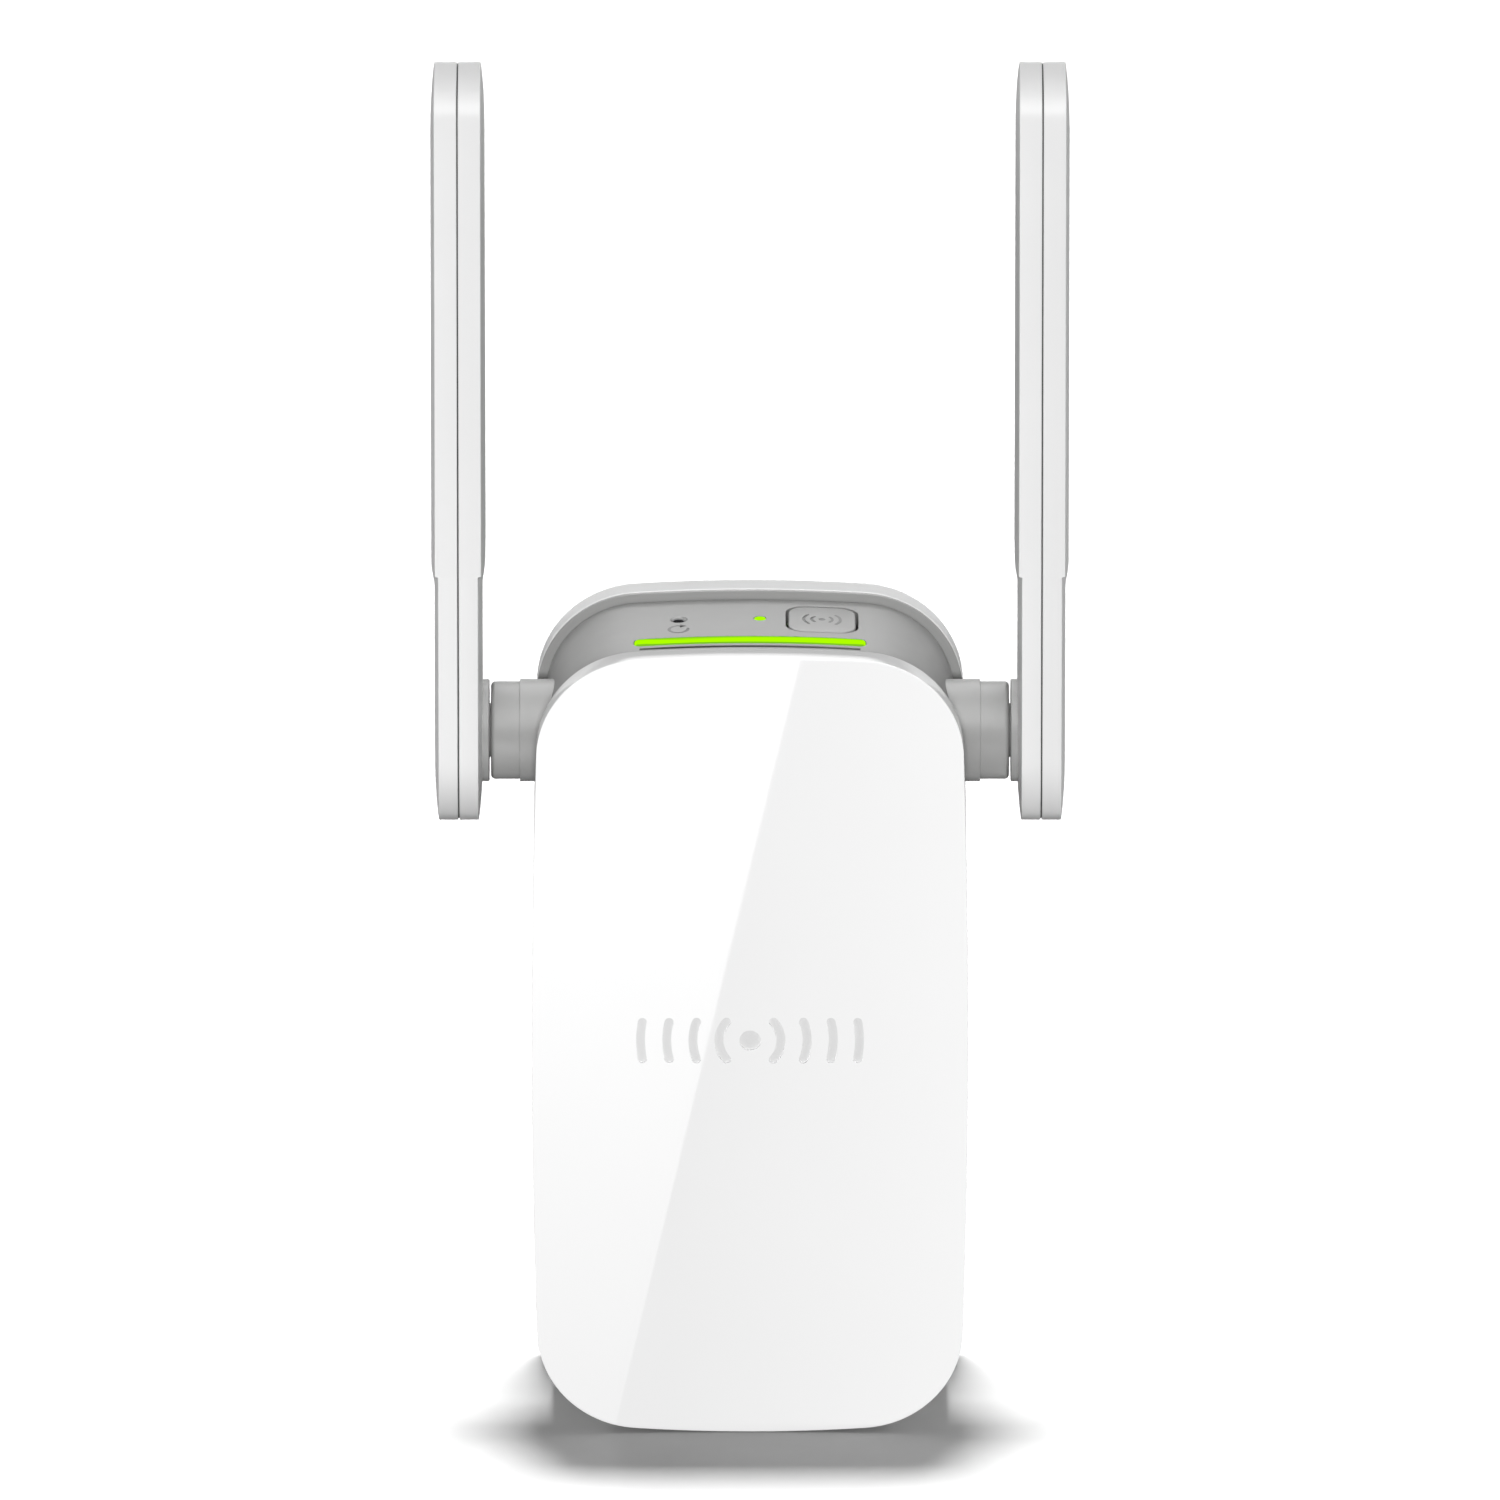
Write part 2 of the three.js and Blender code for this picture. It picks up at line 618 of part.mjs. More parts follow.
function plugBlade(side) {
  const x = (side * PLUG_PITCH) / 2;
  const outline = new THREE.Shape();
  const half = PLUG_WIDTH / 2;
  outline.moveTo(PLUG_ROOT_Y, -half);
  outline.lineTo(PLUG_LENGTH - 1.2, -half);
  outline.lineTo(PLUG_LENGTH, -half + 1.2);
  outline.lineTo(PLUG_LENGTH, half - 1.2);
  outline.lineTo(PLUG_LENGTH - 1.2, half);
  outline.lineTo(PLUG_ROOT_Y, half);
  outline.closePath();
  const hole = new THREE.Path();
  hole.absarc(PLUG_LENGTH - PLUG_HOLE_FROM_TIP, 0, PLUG_HOLE_RADIUS, 0, 2 * Math.PI);
  outline.holes.push(hole);
  const options = { depth: PLUG_THICKNESS, bevelEnabled: false, curveSegments: 8 };
  const blade = new THREE.ExtrudeGeometry(outline, options);
  // The outline is drawn as (y, z); this turn carries its plane and thickness to (y, z) and x.
  blade.applyMatrix4(new THREE.Matrix4().set(0, 0, 1, 0, 1, 0, 0, 0, 0, 1, 0, 0, 0, 0, 0, 1));
  return blade.translate(x - PLUG_THICKNESS / 2, 0, 0);
}

function bladeBlock() {
  const slots = [-1, 1].map((side) => {
    const x = (side * PLUG_PITCH) / 2;
    return block(x - 0.9, x + 0.9, -10, 0, -3.4, 3.4);
  });
  return cut(block(-10.5, 10.5, POWER_BOARD_BACK + PART_GAP, -COVER_WALL - PART_GAP, -6, 6), ...slots);
}

function boardCoax() {
  return lead([
    [20.7, HINGE_Y, HINGE_Z],
    [18.5, HINGE_Y, HINGE_Z],
    [15.5, -14.1, 35.8],
    [13.2, -14.2, 33.6],
    [12, -14.2, 31.6],
  ], COAX_RADIUS, 14);
}

// ---------------------------------------------------------------- antenna, drawn for the right side

// The antenna outline moved inward by a distance, as [y, z] points about the hinge line: a round
// heel, an upright grip, a blade that narrows upward, and a crowned tip with rounded corners.
function antennaOutline(inset) {
  const half = ANTENNA_HEEL_RADIUS - inset;
  const corner = Math.max(ANTENNA_CORNER_RADIUS - inset, 0.4);
  const crown = ANTENNA_CROWN_RADIUS - inset;
  const crownZ = ANTENNA_LENGTH - ANTENNA_CROWN_RADIUS;
  const cornerY = ANTENNA_TIP_HALF_DEPTH - inset - corner;
  const cornerZ = crownZ + Math.sqrt((crown - corner) ** 2 - cornerY ** 2);
  const turn = Math.atan2(cornerZ - crownZ, cornerY);
  const lean = leanAngle(half - cornerY, cornerZ - GRIP_TOP, corner);
  return [
    ...arc(0, 0, half, Math.PI, 2 * Math.PI, 14),
    [half, 0],
    [half, GRIP_TOP],
    ...arc(cornerY, cornerZ, corner, lean, turn, 4),
    ...arc(0, crownZ, crown, turn, Math.PI - turn, 6),
    ...arc(-cornerY, cornerZ, corner, Math.PI - turn, Math.PI - lean, 4),
    [-cornerY - corner * Math.cos(lean), cornerZ + corner * Math.sin(lean)],
    [-half, GRIP_TOP],
  ];
}

// How far a line from the grip's top leans back where it just touches the tip's round corner.
function leanAngle(across, along, corner) {
  return Math.acos(corner / Math.hypot(across, along)) - Math.atan2(along, across);
}

// One half of the antenna's hollow casing. Its thickness grows away from the seam plane, in the
// direction of side: +1 outward, -1 towards the case.
function antennaHalf(side, halfThickness) {
  const profile = [
    [1.3, halfThickness - ANTENNA_WALL],
    [1.3, SEAM_GAP],
    [0.2, SEAM_GAP],
    [0, 0.25],
    [0, halfThickness - 0.8],
    [0.3, halfThickness - 0.48],
    [3.5, halfThickness - 0.2],
    [7.5, halfThickness],
  ];
  const loops = profile.map(([inset, away]) => antennaOutline(inset).map(([y, z]) => (
    new THREE.Vector3(ANTENNA_X + side * away, HINGE_Y + y, HINGE_Z + z)
  )));
  return skin(loops);
}

// The blade of the antenna is thicker than the grip around the hinge.
function antennaShell(side) {
  const stepZ = HINGE_Z + GRIP_TOP;
  const blade = shared(antennaHalf(side, BLADE_HALF_THICKNESS), block(0, REACH, -REACH, REACH, stepZ, 200));
  const grip = shared(antennaHalf(side, GRIP_HALF_THICKNESS), block(0, REACH, -REACH, REACH, -REACH, stepZ + 0.4));
  return joined(blade, grip);
}

function antennaInnerShell() {
  const disc = rod('x', DISC_RADIUS, DISC_START, ANTENNA_X - GRIP_HALF_THICKNESS + 0.6,
    [HINGE_Y, HINGE_Z], HINGE_SEGMENTS);
  const bore = rod('x', TRUNNION_RADIUS + PART_GAP, DISC_START - 1, ANTENNA_X - 0.5,
    [HINGE_Y, HINGE_Z], HINGE_SEGMENTS);
  return cut(joined(antennaShell(-1), disc), bore);
}

function trunnion() {
  const flangeStart = ANTENNA_X - GRIP_HALF_THICKNESS + ANTENNA_WALL + PART_GAP;
  const grooveEnd = CLIP_START + CLIP_THICKNESS + PART_GAP;
  return turnedOnHinge([
    [TRUNNION_BORE, TRUNNION_END],
    [TRUNNION_RADIUS, TRUNNION_END],
    [TRUNNION_RADIUS, CLIP_START - PART_GAP],
    [GROOVE_RADIUS, CLIP_START - PART_GAP],
    [GROOVE_RADIUS, grooveEnd],
    [TRUNNION_RADIUS, grooveEnd],
    [TRUNNION_RADIUS, flangeStart],
    [4.8, flangeStart],
    [4.8, flangeStart + 0.5],
    [TRUNNION_BORE, flangeStart + 0.5],
  ]);
}

function hingeBarrel() {
  const bore = TRUNNION_RADIUS + TRUNNION_CLEARANCE;
  return turnedOnHinge([
    [bore, COLLAR_START],
    [SPIGOT_RADIUS, COLLAR_START],
    [SPIGOT_RADIUS, COLLAR_END + PART_GAP],
    [BARREL_RADIUS, COLLAR_END + PART_GAP],
    [BARREL_RADIUS, BARREL_END - 0.5],
    [BARREL_RADIUS - 0.15, BARREL_END - 0.15],
    [BARREL_RADIUS - 0.5, BARREL_END],
    [bore, BARREL_END],
  ]);
}

function waveWasher() {
  const start = CLIP_START + CLIP_THICKNESS + PART_GAP;
  return turnedOnHinge([
    [TRUNNION_RADIUS + PART_GAP, start],
    [CLIP_RADIUS - 0.4, start],
    [CLIP_RADIUS - 0.4, start + 0.4],
    [TRUNNION_RADIUS + PART_GAP, start + 0.4],
  ]);
}

function retainingClip() {
  const ring = turnedOnHinge([
    [GROOVE_RADIUS + 0.1, CLIP_START],
    [CLIP_RADIUS, CLIP_START],
    [CLIP_RADIUS, CLIP_START + CLIP_THICKNESS],
    [GROOVE_RADIUS + 0.1, CLIP_START + CLIP_THICKNESS],
  ]);
  return cut(ring, block(20, 25, HINGE_Y - 2, HINGE_Y + 2, HINGE_Z - 8, HINGE_Z));
}

function radiatorBoard() {
  const foil = block(ANTENNA_X - 0.4, ANTENNA_X + 0.4, HINGE_Y - 6, HINGE_Y + 6, HINGE_Z + 9.6, HINGE_Z + 80);
  return cut(foil, block(ANTENNA_X - 2, ANTENNA_X + 2, HINGE_Y - 1, HINGE_Y + 1, HINGE_Z + 30, HINGE_Z + 62));
}

function antennaCoax() {
  return lead([
    [21, HINGE_Y, HINGE_Z],
    [28, HINGE_Y, HINGE_Z],
    [34, HINGE_Y, HINGE_Z],
    [36, HINGE_Y, HINGE_Z + 0.9],
    [ANTENNA_X, HINGE_Y, HINGE_Z + 3],
    [ANTENNA_X, HINGE_Y, HINGE_Z + 9.3],
  ], COAX_RADIUS, 22);
}

// ---------------------------------------------------------------- assembly

const extender = new THREE.Group();
extender.name = 'range_extender';

function place(name, geometry, material, group = extender) {
  const mesh = new THREE.Mesh(sealed(geometry), material.clone());
  mesh.name = name;
  group.add(mesh);
}

// Mirrors a piece drawn for the right side onto the left.
function forSide(side, geometry) {
  return side === 'left' ? geometry.clone().scale(-1, 1, 1) : geometry;
}

const casing = new THREE.Group();
extender.add(casing);
place('front_cover', frontCover(), MATERIALS.whiteGloss, casing);
place('middle_frame', middleFrame(), MATERIALS.greySatin, casing);
place('rear_cover', rearCover(), MATERIALS.whiteSatin, casing);
place('rear_label', rearLabel(), MATERIALS.labelGrey, casing);
screwPlaces().forEach(([x, z]) => {
  const name = `case_screw_${z > 0 ? 'top' : 'bottom'}_${x > 0 ? 'right' : 'left'}`;
  place(name, caseScrew(x, z), MATERIALS.zincScrew, casing);
});

const controls = new THREE.Group();
extender.add(controls);
place('light_bar', lightBar(), MATERIALS.greenLens, controls);
place('status_lens', statusLens(), MATERIALS.greenLens, controls);
place('pairing_button_cap', buttonCap(), MATERIALS.greySatin, controls);
place('pairing_switch_body', switchBody(BUTTON_X), MATERIALS.blackPlastic, controls);
place('pairing_switch_stem', switchStem(BUTTON_X, 1.4, 46.3), MATERIALS.creamPlastic, controls);
place('reset_switch_body', switchBody(RESET_X), MATERIALS.blackPlastic, controls);
place('reset_switch_stem', switchStem(RESET_X, 1.2, 47), MATERIALS.creamPlastic, controls);

// Plain blocks on the boards: name, material, then the corners.
const BOARD_BLOCKS = [
  ['router_chip', 'blackPlastic', [-4, 8, -17.8, -16.7, 2, 14]],
  ['flash_chip', 'blackPlastic', [-12, -4, -18, -16.7, -20, -14]],
  ['network_transformer', 'blackPlastic', [-6.5, 6.5, -21.5, -16.7, -35, -25]],
  ['light_bar_led_left', 'ledBody', [-8.6, -5.4, -18.3, -16.7, 44, 45.6]],
  ['light_bar_led_right', 'ledBody', [5.4, 8.6, -18.3, -16.7, 44, 45.6]],
  ['status_led', 'ledBody', [0.4, 2.1, -14.9, -10.1, 43.9, 45.5]],
  ['board_link_header', 'creamPlastic', [-16, -7, -14.9, -6.1, 20, 24]],
  ['bridge_rectifier', 'blackPlastic', [-9, -3, -9, -6.1, 10, 16]],
  ['optocoupler', 'blackPlastic', [3, 9.5, -9.6, -6.1, 12, 17]],
];
BOARD_BLOCKS.forEach(([name, material, corners]) => {
  place(name, block(...corners), MATERIALS[material]);
});

const electronics = new THREE.Group();
extender.add(electronics);
place('main_board', mainBoard(), MATERIALS.boardGreen, electronics);
place('shield_can', shieldCan(), MATERIALS.tin, electronics);
place('heat_spreader', heatSpreader(), MATERIALS.aluminium, electronics);
place('ethernet_jack', ethernetJack(), MATERIALS.blackPlastic, electronics);
place('ethernet_contacts', jackContacts(), MATERIALS.gold, electronics);
place('power_board', powerBoard(), MATERIALS.boardGreen, electronics);
place('transformer_core', transformerCore(), MATERIALS.ferrite, electronics);
place('transformer_winding', transformerWinding(), MATERIALS.yellowTape, electronics);
place('input_capacitor', rod('z', 3.9, -24, -9, [-14.5, -10.2]), MATERIALS.capacitorSleeve, electronics);
place('output_capacitor', rod('z', 3.2, 13, 25, [15, -9.5]), MATERIALS.capacitorSleeve, electronics);
place('drum_choke', drumChoke(), MATERIALS.ferrite, electronics);
place('mains_fuse', rod('z', 1.7, -27.5, -19, [-3.5, -8], 14), MATERIALS.creamPlastic, electronics);
place('safety_capacitor', rod('y', 3.4, -9.2, -6.2, [-14.5, -2], 20), MATERIALS.blueDisc, electronics);
place('plug_blade_left', plugBlade(-1), MATERIALS.plating, electronics);
place('plug_blade_right', plugBlade(1), MATERIALS.plating, electronics);
place('blade_block', bladeBlock(), MATERIALS.blackPlastic, electronics);

['left', 'right'].forEach((side) => {
  const wing = new THREE.Group();
  extender.add(wing);
  const add = (name, geometry, material) => place(name, forSide(side, geometry), material, wing);
  add(`hinge_barrel_${side}`, hingeBarrel(), MATERIALS.greySatin);
  add(`board_coax_${side}`, boardCoax(), MATERIALS.coaxJacket);
  add(`coax_plug_${side}`, rod('y', 1.4, MAIN_BOARD_BACK + PART_GAP, -13.4, [12, 30], 16), MATERIALS.gold);
  add(`antenna_inner_shell_${side}`, antennaInnerShell(), MATERIALS.whiteSatin);
  add(`antenna_outer_shell_${side}`, antennaShell(1), MATERIALS.whiteSatin);
  add(`antenna_trunnion_${side}`, trunnion(), MATERIALS.greySatin);
  add(`antenna_radiator_${side}`, radiatorBoard(), MATERIALS.boardGreen);
  add(`antenna_coax_${side}`, antennaCoax(), MATERIALS.coaxJacket);
  add(`retaining_clip_${side}`, retainingClip(), MATERIALS.zincScrew);
  add(`wave_washer_${side}`, waveWasher(), MATERIALS.zincScrew);
});

export default extender;
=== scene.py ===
"""Looks of the plug-in wireless range extender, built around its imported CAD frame."""

import json
import math

import bmesh
import bpy
from mathutils import Matrix, Vector

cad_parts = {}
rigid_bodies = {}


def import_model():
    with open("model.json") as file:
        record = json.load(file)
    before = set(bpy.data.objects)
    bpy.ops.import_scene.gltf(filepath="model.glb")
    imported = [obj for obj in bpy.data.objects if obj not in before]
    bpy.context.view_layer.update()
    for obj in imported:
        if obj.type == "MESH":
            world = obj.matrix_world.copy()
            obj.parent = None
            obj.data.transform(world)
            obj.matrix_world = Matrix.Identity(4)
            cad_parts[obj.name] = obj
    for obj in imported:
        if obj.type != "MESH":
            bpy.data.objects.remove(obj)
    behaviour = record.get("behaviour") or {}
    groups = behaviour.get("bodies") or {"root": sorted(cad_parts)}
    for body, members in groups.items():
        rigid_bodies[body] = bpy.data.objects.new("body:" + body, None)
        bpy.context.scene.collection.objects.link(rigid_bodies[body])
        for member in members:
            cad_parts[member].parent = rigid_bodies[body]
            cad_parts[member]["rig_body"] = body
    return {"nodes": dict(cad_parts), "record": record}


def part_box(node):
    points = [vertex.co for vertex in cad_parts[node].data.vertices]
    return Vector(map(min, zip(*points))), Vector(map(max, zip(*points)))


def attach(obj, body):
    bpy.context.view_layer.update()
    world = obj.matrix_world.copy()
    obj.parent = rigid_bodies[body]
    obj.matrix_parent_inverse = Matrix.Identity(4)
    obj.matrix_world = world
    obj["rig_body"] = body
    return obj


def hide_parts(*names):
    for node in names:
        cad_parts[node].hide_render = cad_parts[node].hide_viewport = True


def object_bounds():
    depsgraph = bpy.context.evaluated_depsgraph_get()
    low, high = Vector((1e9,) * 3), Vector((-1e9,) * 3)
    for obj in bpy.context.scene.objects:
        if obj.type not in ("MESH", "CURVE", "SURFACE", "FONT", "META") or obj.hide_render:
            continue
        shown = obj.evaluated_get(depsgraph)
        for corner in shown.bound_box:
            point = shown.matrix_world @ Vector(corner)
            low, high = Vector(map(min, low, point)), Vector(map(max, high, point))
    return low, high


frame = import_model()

CAD_LOW, CAD_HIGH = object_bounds()
MM = 0.001
NODES = frame["nodes"]

# ---------------------------------------------------------------- places taken from the frame

COVER_LOW, COVER_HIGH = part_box("front_cover")
_, FRAME_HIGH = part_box("middle_frame")
REAR_LOW, REAR_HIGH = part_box("rear_cover")
BAR_LOW, BAR_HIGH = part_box("light_bar")
BUTTON_LOW, BUTTON_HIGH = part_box("pairing_button_cap")
STATUS_LOW, STATUS_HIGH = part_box("status_lens")
RESET_LOW, RESET_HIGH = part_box("reset_switch_stem")
BARREL_LOW, BARREL_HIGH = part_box("hinge_barrel_right")
INNER_LOW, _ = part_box("antenna_inner_shell_right")
OUTER_LOW, OUTER_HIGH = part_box("antenna_outer_shell_right")
LABEL_LOW, LABEL_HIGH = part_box("rear_label")
SCREW_LOW, SCREW_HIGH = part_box("case_screw_top_right")
SCREW_X = (SCREW_LOW.x + SCREW_HIGH.x) / 2
SCREW_Z = (SCREW_LOW.z + SCREW_HIGH.z) / 2


def centre_of(low, high):
    """The middle of a box as seen from above."""
    return (low.x + high.x) / 2, (low.y + high.y) / 2


BUTTON_CENTRE = centre_of(BUTTON_LOW, BUTTON_HIGH)
STATUS_CENTRE = centre_of(STATUS_LOW, STATUS_HIGH)
RESET_CENTRE = centre_of(RESET_LOW, RESET_HIGH)

# Case, in metres.
HALF_WIDTH = COVER_HIGH.x
HALF_HEIGHT = COVER_HIGH.z
FRONT_FACE = COVER_LOW.y
WALL_FACE = REAR_HIGH.y
COVER_DEPTH = 3.5 * MM
COVER_WALL = 1.8 * MM
RIM_WALL = 2.2 * MM
CORNER_RADIUS = 13.2 * MM
SIDE_ARC_RADIUS = 1300 * MM
END_ARC_RADIUS = 220 * MM
FRAME_RECESS = 1.15 * MM
FRAME_WALL = 1.8 * MM
FLANGE_INSET = 0.05 * MM
FLANGE_DEPTH = 0.4 * MM
CREASE_WIDTH = 0.25 * MM
CREASE_DEPTH = 0.5 * MM
RIM_CHAMFER = 0.2 * MM
FRONT_EDGE = 0.15 * MM
BACK_EDGE = 0.4 * MM
EDGE_SUPPORT = 0.15 * MM

# Back and bottom of the case, in metres.
VENT_SIZE = (14 * MM, 1.4 * MM)
VENT_CORNER = 0.69 * MM
VENT_SIDE = 10 * MM
VENT_LOWEST = 16.7 * MM
VENT_PITCH = 3.4 * MM
VENT_ROWS = 5
JACK_HALF_WIDTH = 6.35 * MM
JACK_FRONT = -13.5 * MM
JACK_BACK = -4.7 * MM
JACK_TOP = -46.5 * MM

# Control row on the frame's top, in metres.
BAR_SIZE = (29.1 * MM, 2.4 * MM)
BAR_CORNER = 0.8 * MM
BAR_GAP = 0.1 * MM
BUTTON_SIZE = 8.5 * MM
BUTTON_CORNER = 2.1 * MM
BUTTON_GAP = 0.35 * MM
LENS_RADIUS = 0.73 * MM
PINHOLE_RADIUS = 0.95 * MM
REVEAL_HALF_WIDTH = 13.9 * MM
REVEAL_FRONT = -21.1 * MM
REVEAL_BACK = -20.35 * MM
REVEAL_DEPTH = 0.6 * MM

# Antennas and hinges, in metres.
HINGE = Vector((0, (BARREL_LOW.y + BARREL_HIGH.y) / 2, (BARREL_LOW.z + BARREL_HIGH.z) / 2))
SEAM_GAP = 0.05 * MM
ANTENNA_X = OUTER_LOW.x - SEAM_GAP
HEEL_RADIUS = (OUTER_HIGH.y - OUTER_LOW.y) / 2
ANTENNA_LENGTH = OUTER_HIGH.z - HINGE.z
BLADE_HALF = OUTER_HIGH.x - ANTENNA_X
TIP_HALF_DEPTH = 8.3 * MM
CROWN_RADIUS = 50 * MM
TIP_CORNER = 3.3 * MM
GRIP_STEP = 0.4 * MM
GRIP_TOP = 24.9 * MM
BARREL_RELIEF = 0.3 * MM
COLLAR_RADIUS = 6.45 * MM
COLLAR_BORE = 4.6 * MM
COLLAR_END = 29 * MM
DISC_RADIUS = 6.45 * MM
BORE_RADIUS = 3.5 * MM


# ---------------------------------------------------------------- outlines

def arc(centre_x, centre_y, radius, start, end, steps):
    """Points along an arc, without its last point, where the next stretch starts."""
    turn = (end - start) / steps
    return [
        (centre_x + radius * math.cos(start + turn * i), centre_y + radius * math.sin(start + turn * i))
        for i in range(steps)
    ]


def case_arcs():
    """The corner arcs' centre and the angles at which the long arcs meet the corner arcs."""
    side_reach = SIDE_ARC_RADIUS - CORNER_RADIUS
    end_reach = END_ARC_RADIUS - CORNER_RADIUS
    corner_x = HALF_WIDTH - CORNER_RADIUS
    corner_z = HALF_HEIGHT - CORNER_RADIUS
    for _ in range(8):
        corner_x = HALF_WIDTH - SIDE_ARC_RADIUS + math.sqrt(side_reach ** 2 - corner_z ** 2)
        corner_z = HALF_HEIGHT - END_ARC_RADIUS + math.sqrt(end_reach ** 2 - corner_x ** 2)
    return corner_x, corner_z, math.asin(corner_z / side_reach), math.asin(corner_x / end_reach)


CORNER_X, CORNER_Z, SIDE_TILT, END_TILT = case_arcs()


def case_outline(inset, corner_steps=28, long_steps=16):
    """The case outline moved inward by an even distance, as (x, z) points."""
    points = []
    for quarter in range(4):
        on_side = quarter % 2 == 0
        facing = quarter * math.pi / 2
        tilt, next_tilt = (SIDE_TILT, END_TILT) if on_side else (END_TILT, SIDE_TILT)
        radius = SIDE_ARC_RADIUS if on_side else END_ARC_RADIUS
        centre = (HALF_WIDTH if on_side else HALF_HEIGHT) - radius
        sign_x = math.copysign(1, math.cos(facing + math.pi / 4))
        sign_z = math.copysign(1, math.sin(facing + math.pi / 4))
        points += arc(math.cos(facing) * centre, math.sin(facing) * centre, radius - inset,
                      facing - tilt, facing + tilt, long_steps)
        points += arc(sign_x * CORNER_X, sign_z * CORNER_Z, CORNER_RADIUS - inset,
                      facing + tilt, facing + math.pi / 2 - next_tilt, corner_steps)
    return points


def frame_top(x):
    """Height of the frame's crowned top at a given x."""
    return HALF_HEIGHT - END_ARC_RADIUS + math.sqrt((END_ARC_RADIUS - FRAME_RECESS) ** 2 - x ** 2)


def arc_band(centre, inner, outer, start, end, steps=24):
    """A curved stroke with round ends, as a closed list of points."""
    middle = (inner + outer) / 2
    half = (outer - inner) / 2
    head = (centre[0] + middle * math.cos(end), centre[1] + middle * math.sin(end))
    tail = (centre[0] + middle * math.cos(start), centre[1] + middle * math.sin(start))
    return (
        arc(*centre, outer, start, end, steps)
        + arc(*head, half, end, end + math.pi, 8)
        + arc(*centre, inner, end, start, steps)
        + arc(*tail, half, start + math.pi, start + 2 * math.pi, 8)
    )


def disc_outline(centre, radius, steps=40):
    return arc(*centre, radius, 0, 2 * math.pi, steps)


def rounded_box(centre, width, length, radius, steps=10):
    """A rounded rectangle as a closed list of points that starts at the middle of its right side."""
    right, back = width / 2 - radius, length / 2 - radius
    x, y = centre
    return (
        [(x + width / 2, y)]
        + arc(x + right, y + back, radius, 0, math.pi / 2, steps)
        + [(x + right, y + length / 2)]
        + arc(x - right, y + back, radius, math.pi / 2, math.pi, steps)
        + [(x - width / 2, y + back), (x - width / 2, y)]
        + arc(x - right, y - back, radius, math.pi, 1.5 * math.pi, steps)
        + [(x - right, y - length / 2)]
        + arc(x + right, y - back, radius, 1.5 * math.pi, 2 * math.pi, steps)
        + [(x + width / 2, y - back)]
    )


# ---------------------------------------------------------------- meshes

# The smallest radius of a turned solid, in place of a point on its axis.
CORE = 0.01 * MM


def new_object(name, mesh):
    obj = bpy.data.objects.new(name, mesh)
    bpy.context.scene.collection.objects.link(obj)
    return obj


def face_out(bm):
    """Merges vertices in one place and turns every face outward."""
    bmesh.ops.remove_doubles(bm, verts=bm.verts, dist=1e-7)
    bmesh.ops.recalc_face_normals(bm, faces=bm.faces)
    if bm.calc_volume(signed=True) < 0:
        bmesh.ops.reverse_faces(bm, faces=bm.faces)


def ladder(bm, loop):
    """Closes a loop that mirrors itself about its first point with rungs between its two sides."""
    count = len(loop)
    for i in range(count // 2):
        corners = [loop[i], loop[i + 1], loop[(-i - 1) % count], loop[-i % count]]
        unique = list(dict.fromkeys(corners))
        if len(unique) > 2:
            bm.faces.new(unique)


def skin(name, loops, ringed=False, rungs=False):
    """Skins a stack of loops of equal length into a closed object."""
    bm = bmesh.new()
    rows = [[bm.verts.new(point) for point in loop] for loop in loops]
    pairs = list(zip(rows, rows[1:])) + ([(rows[-1], rows[0])] if ringed else [])
    for here, there in pairs:
        for i in range(len(here)):
            j = (i + 1) % len(here)
            bm.faces.new((here[i], here[j], there[j], there[i]))
    if not ringed:
        for end in (rows[0], rows[-1]):
            if rungs:
                ladder(bm, end)
            else:
                bm.faces.new(end)
    face_out(bm)
    mesh = bpy.data.meshes.new(name)
    bm.to_mesh(mesh)
    bm.free()
    return new_object(name, mesh)


def prism(name, outline, low, high, axis="z"):
    """An outline extruded along z, or along y where the outline's points are (x, z)."""
    place = (lambda p, at: (p[0], p[1], at)) if axis == "z" else (lambda p, at: (p[0], at, p[1]))
    return skin(name, [[place(p, at) for p in outline] for at in (low, high)])


def box(name, low, high):
    outline = [(low[0], low[1]), (high[0], low[1]), (high[0], high[1]), (low[0], high[1])]
    return prism(name, outline, low[2], high[2])


def case_skin(name, profile, ringed=False):
    """Stacks case outlines: the profile is a list of (inset, y)."""
    loops = [[(x, y, z) for x, z in case_outline(inset)] for inset, y in profile]
    return skin(name, loops, ringed)


def lathe(name, profile, axis, centre, segments=72, ringed=True):
    """Turns a profile of (radius, along) about a line along x, y or z through a centre."""
    loops = []
    for radius, along in profile:
        loop = []
        for u, v in arc(0, 0, radius, 0, 2 * math.pi, segments):
            point = {"x": (along, u, v), "y": (u, along, v), "z": (u, v, along)}[axis]
            loop.append(Vector(point) + Vector(centre))
        loops.append(loop)
    return skin(name, loops, ringed)


def round_tool(radius, start, end, centre, segments):
    """A cylinder along x for cutting a bore or a seat."""
    profile = [(CORE, start), (radius, start), (radius, end), (CORE, end)]
    return lathe("round_tool", profile, "x", centre, segments, ringed=False)


def boolean(obj, tool, operation):
    modifier = obj.modifiers.new("join", "BOOLEAN")
    modifier.operation = operation
    modifier.solver = "EXACT"
    modifier.object = tool
    evaluated = obj.evaluated_get(bpy.context.evaluated_depsgraph_get())
    mesh = bpy.data.meshes.new_from_object(evaluated)
    obj.modifiers.clear()
    old = obj.data
    obj.data = mesh
    bpy.data.meshes.remove(old)
    mesh.name = obj.name
    bpy.data.objects.remove(tool)


def cut(obj, *tools):
    for tool in tools:
        boolean(obj, tool, "DIFFERENCE")
    return obj


def join(obj, *tools):
    for tool in tools:
        boolean(obj, tool, "UNION")
    return obj


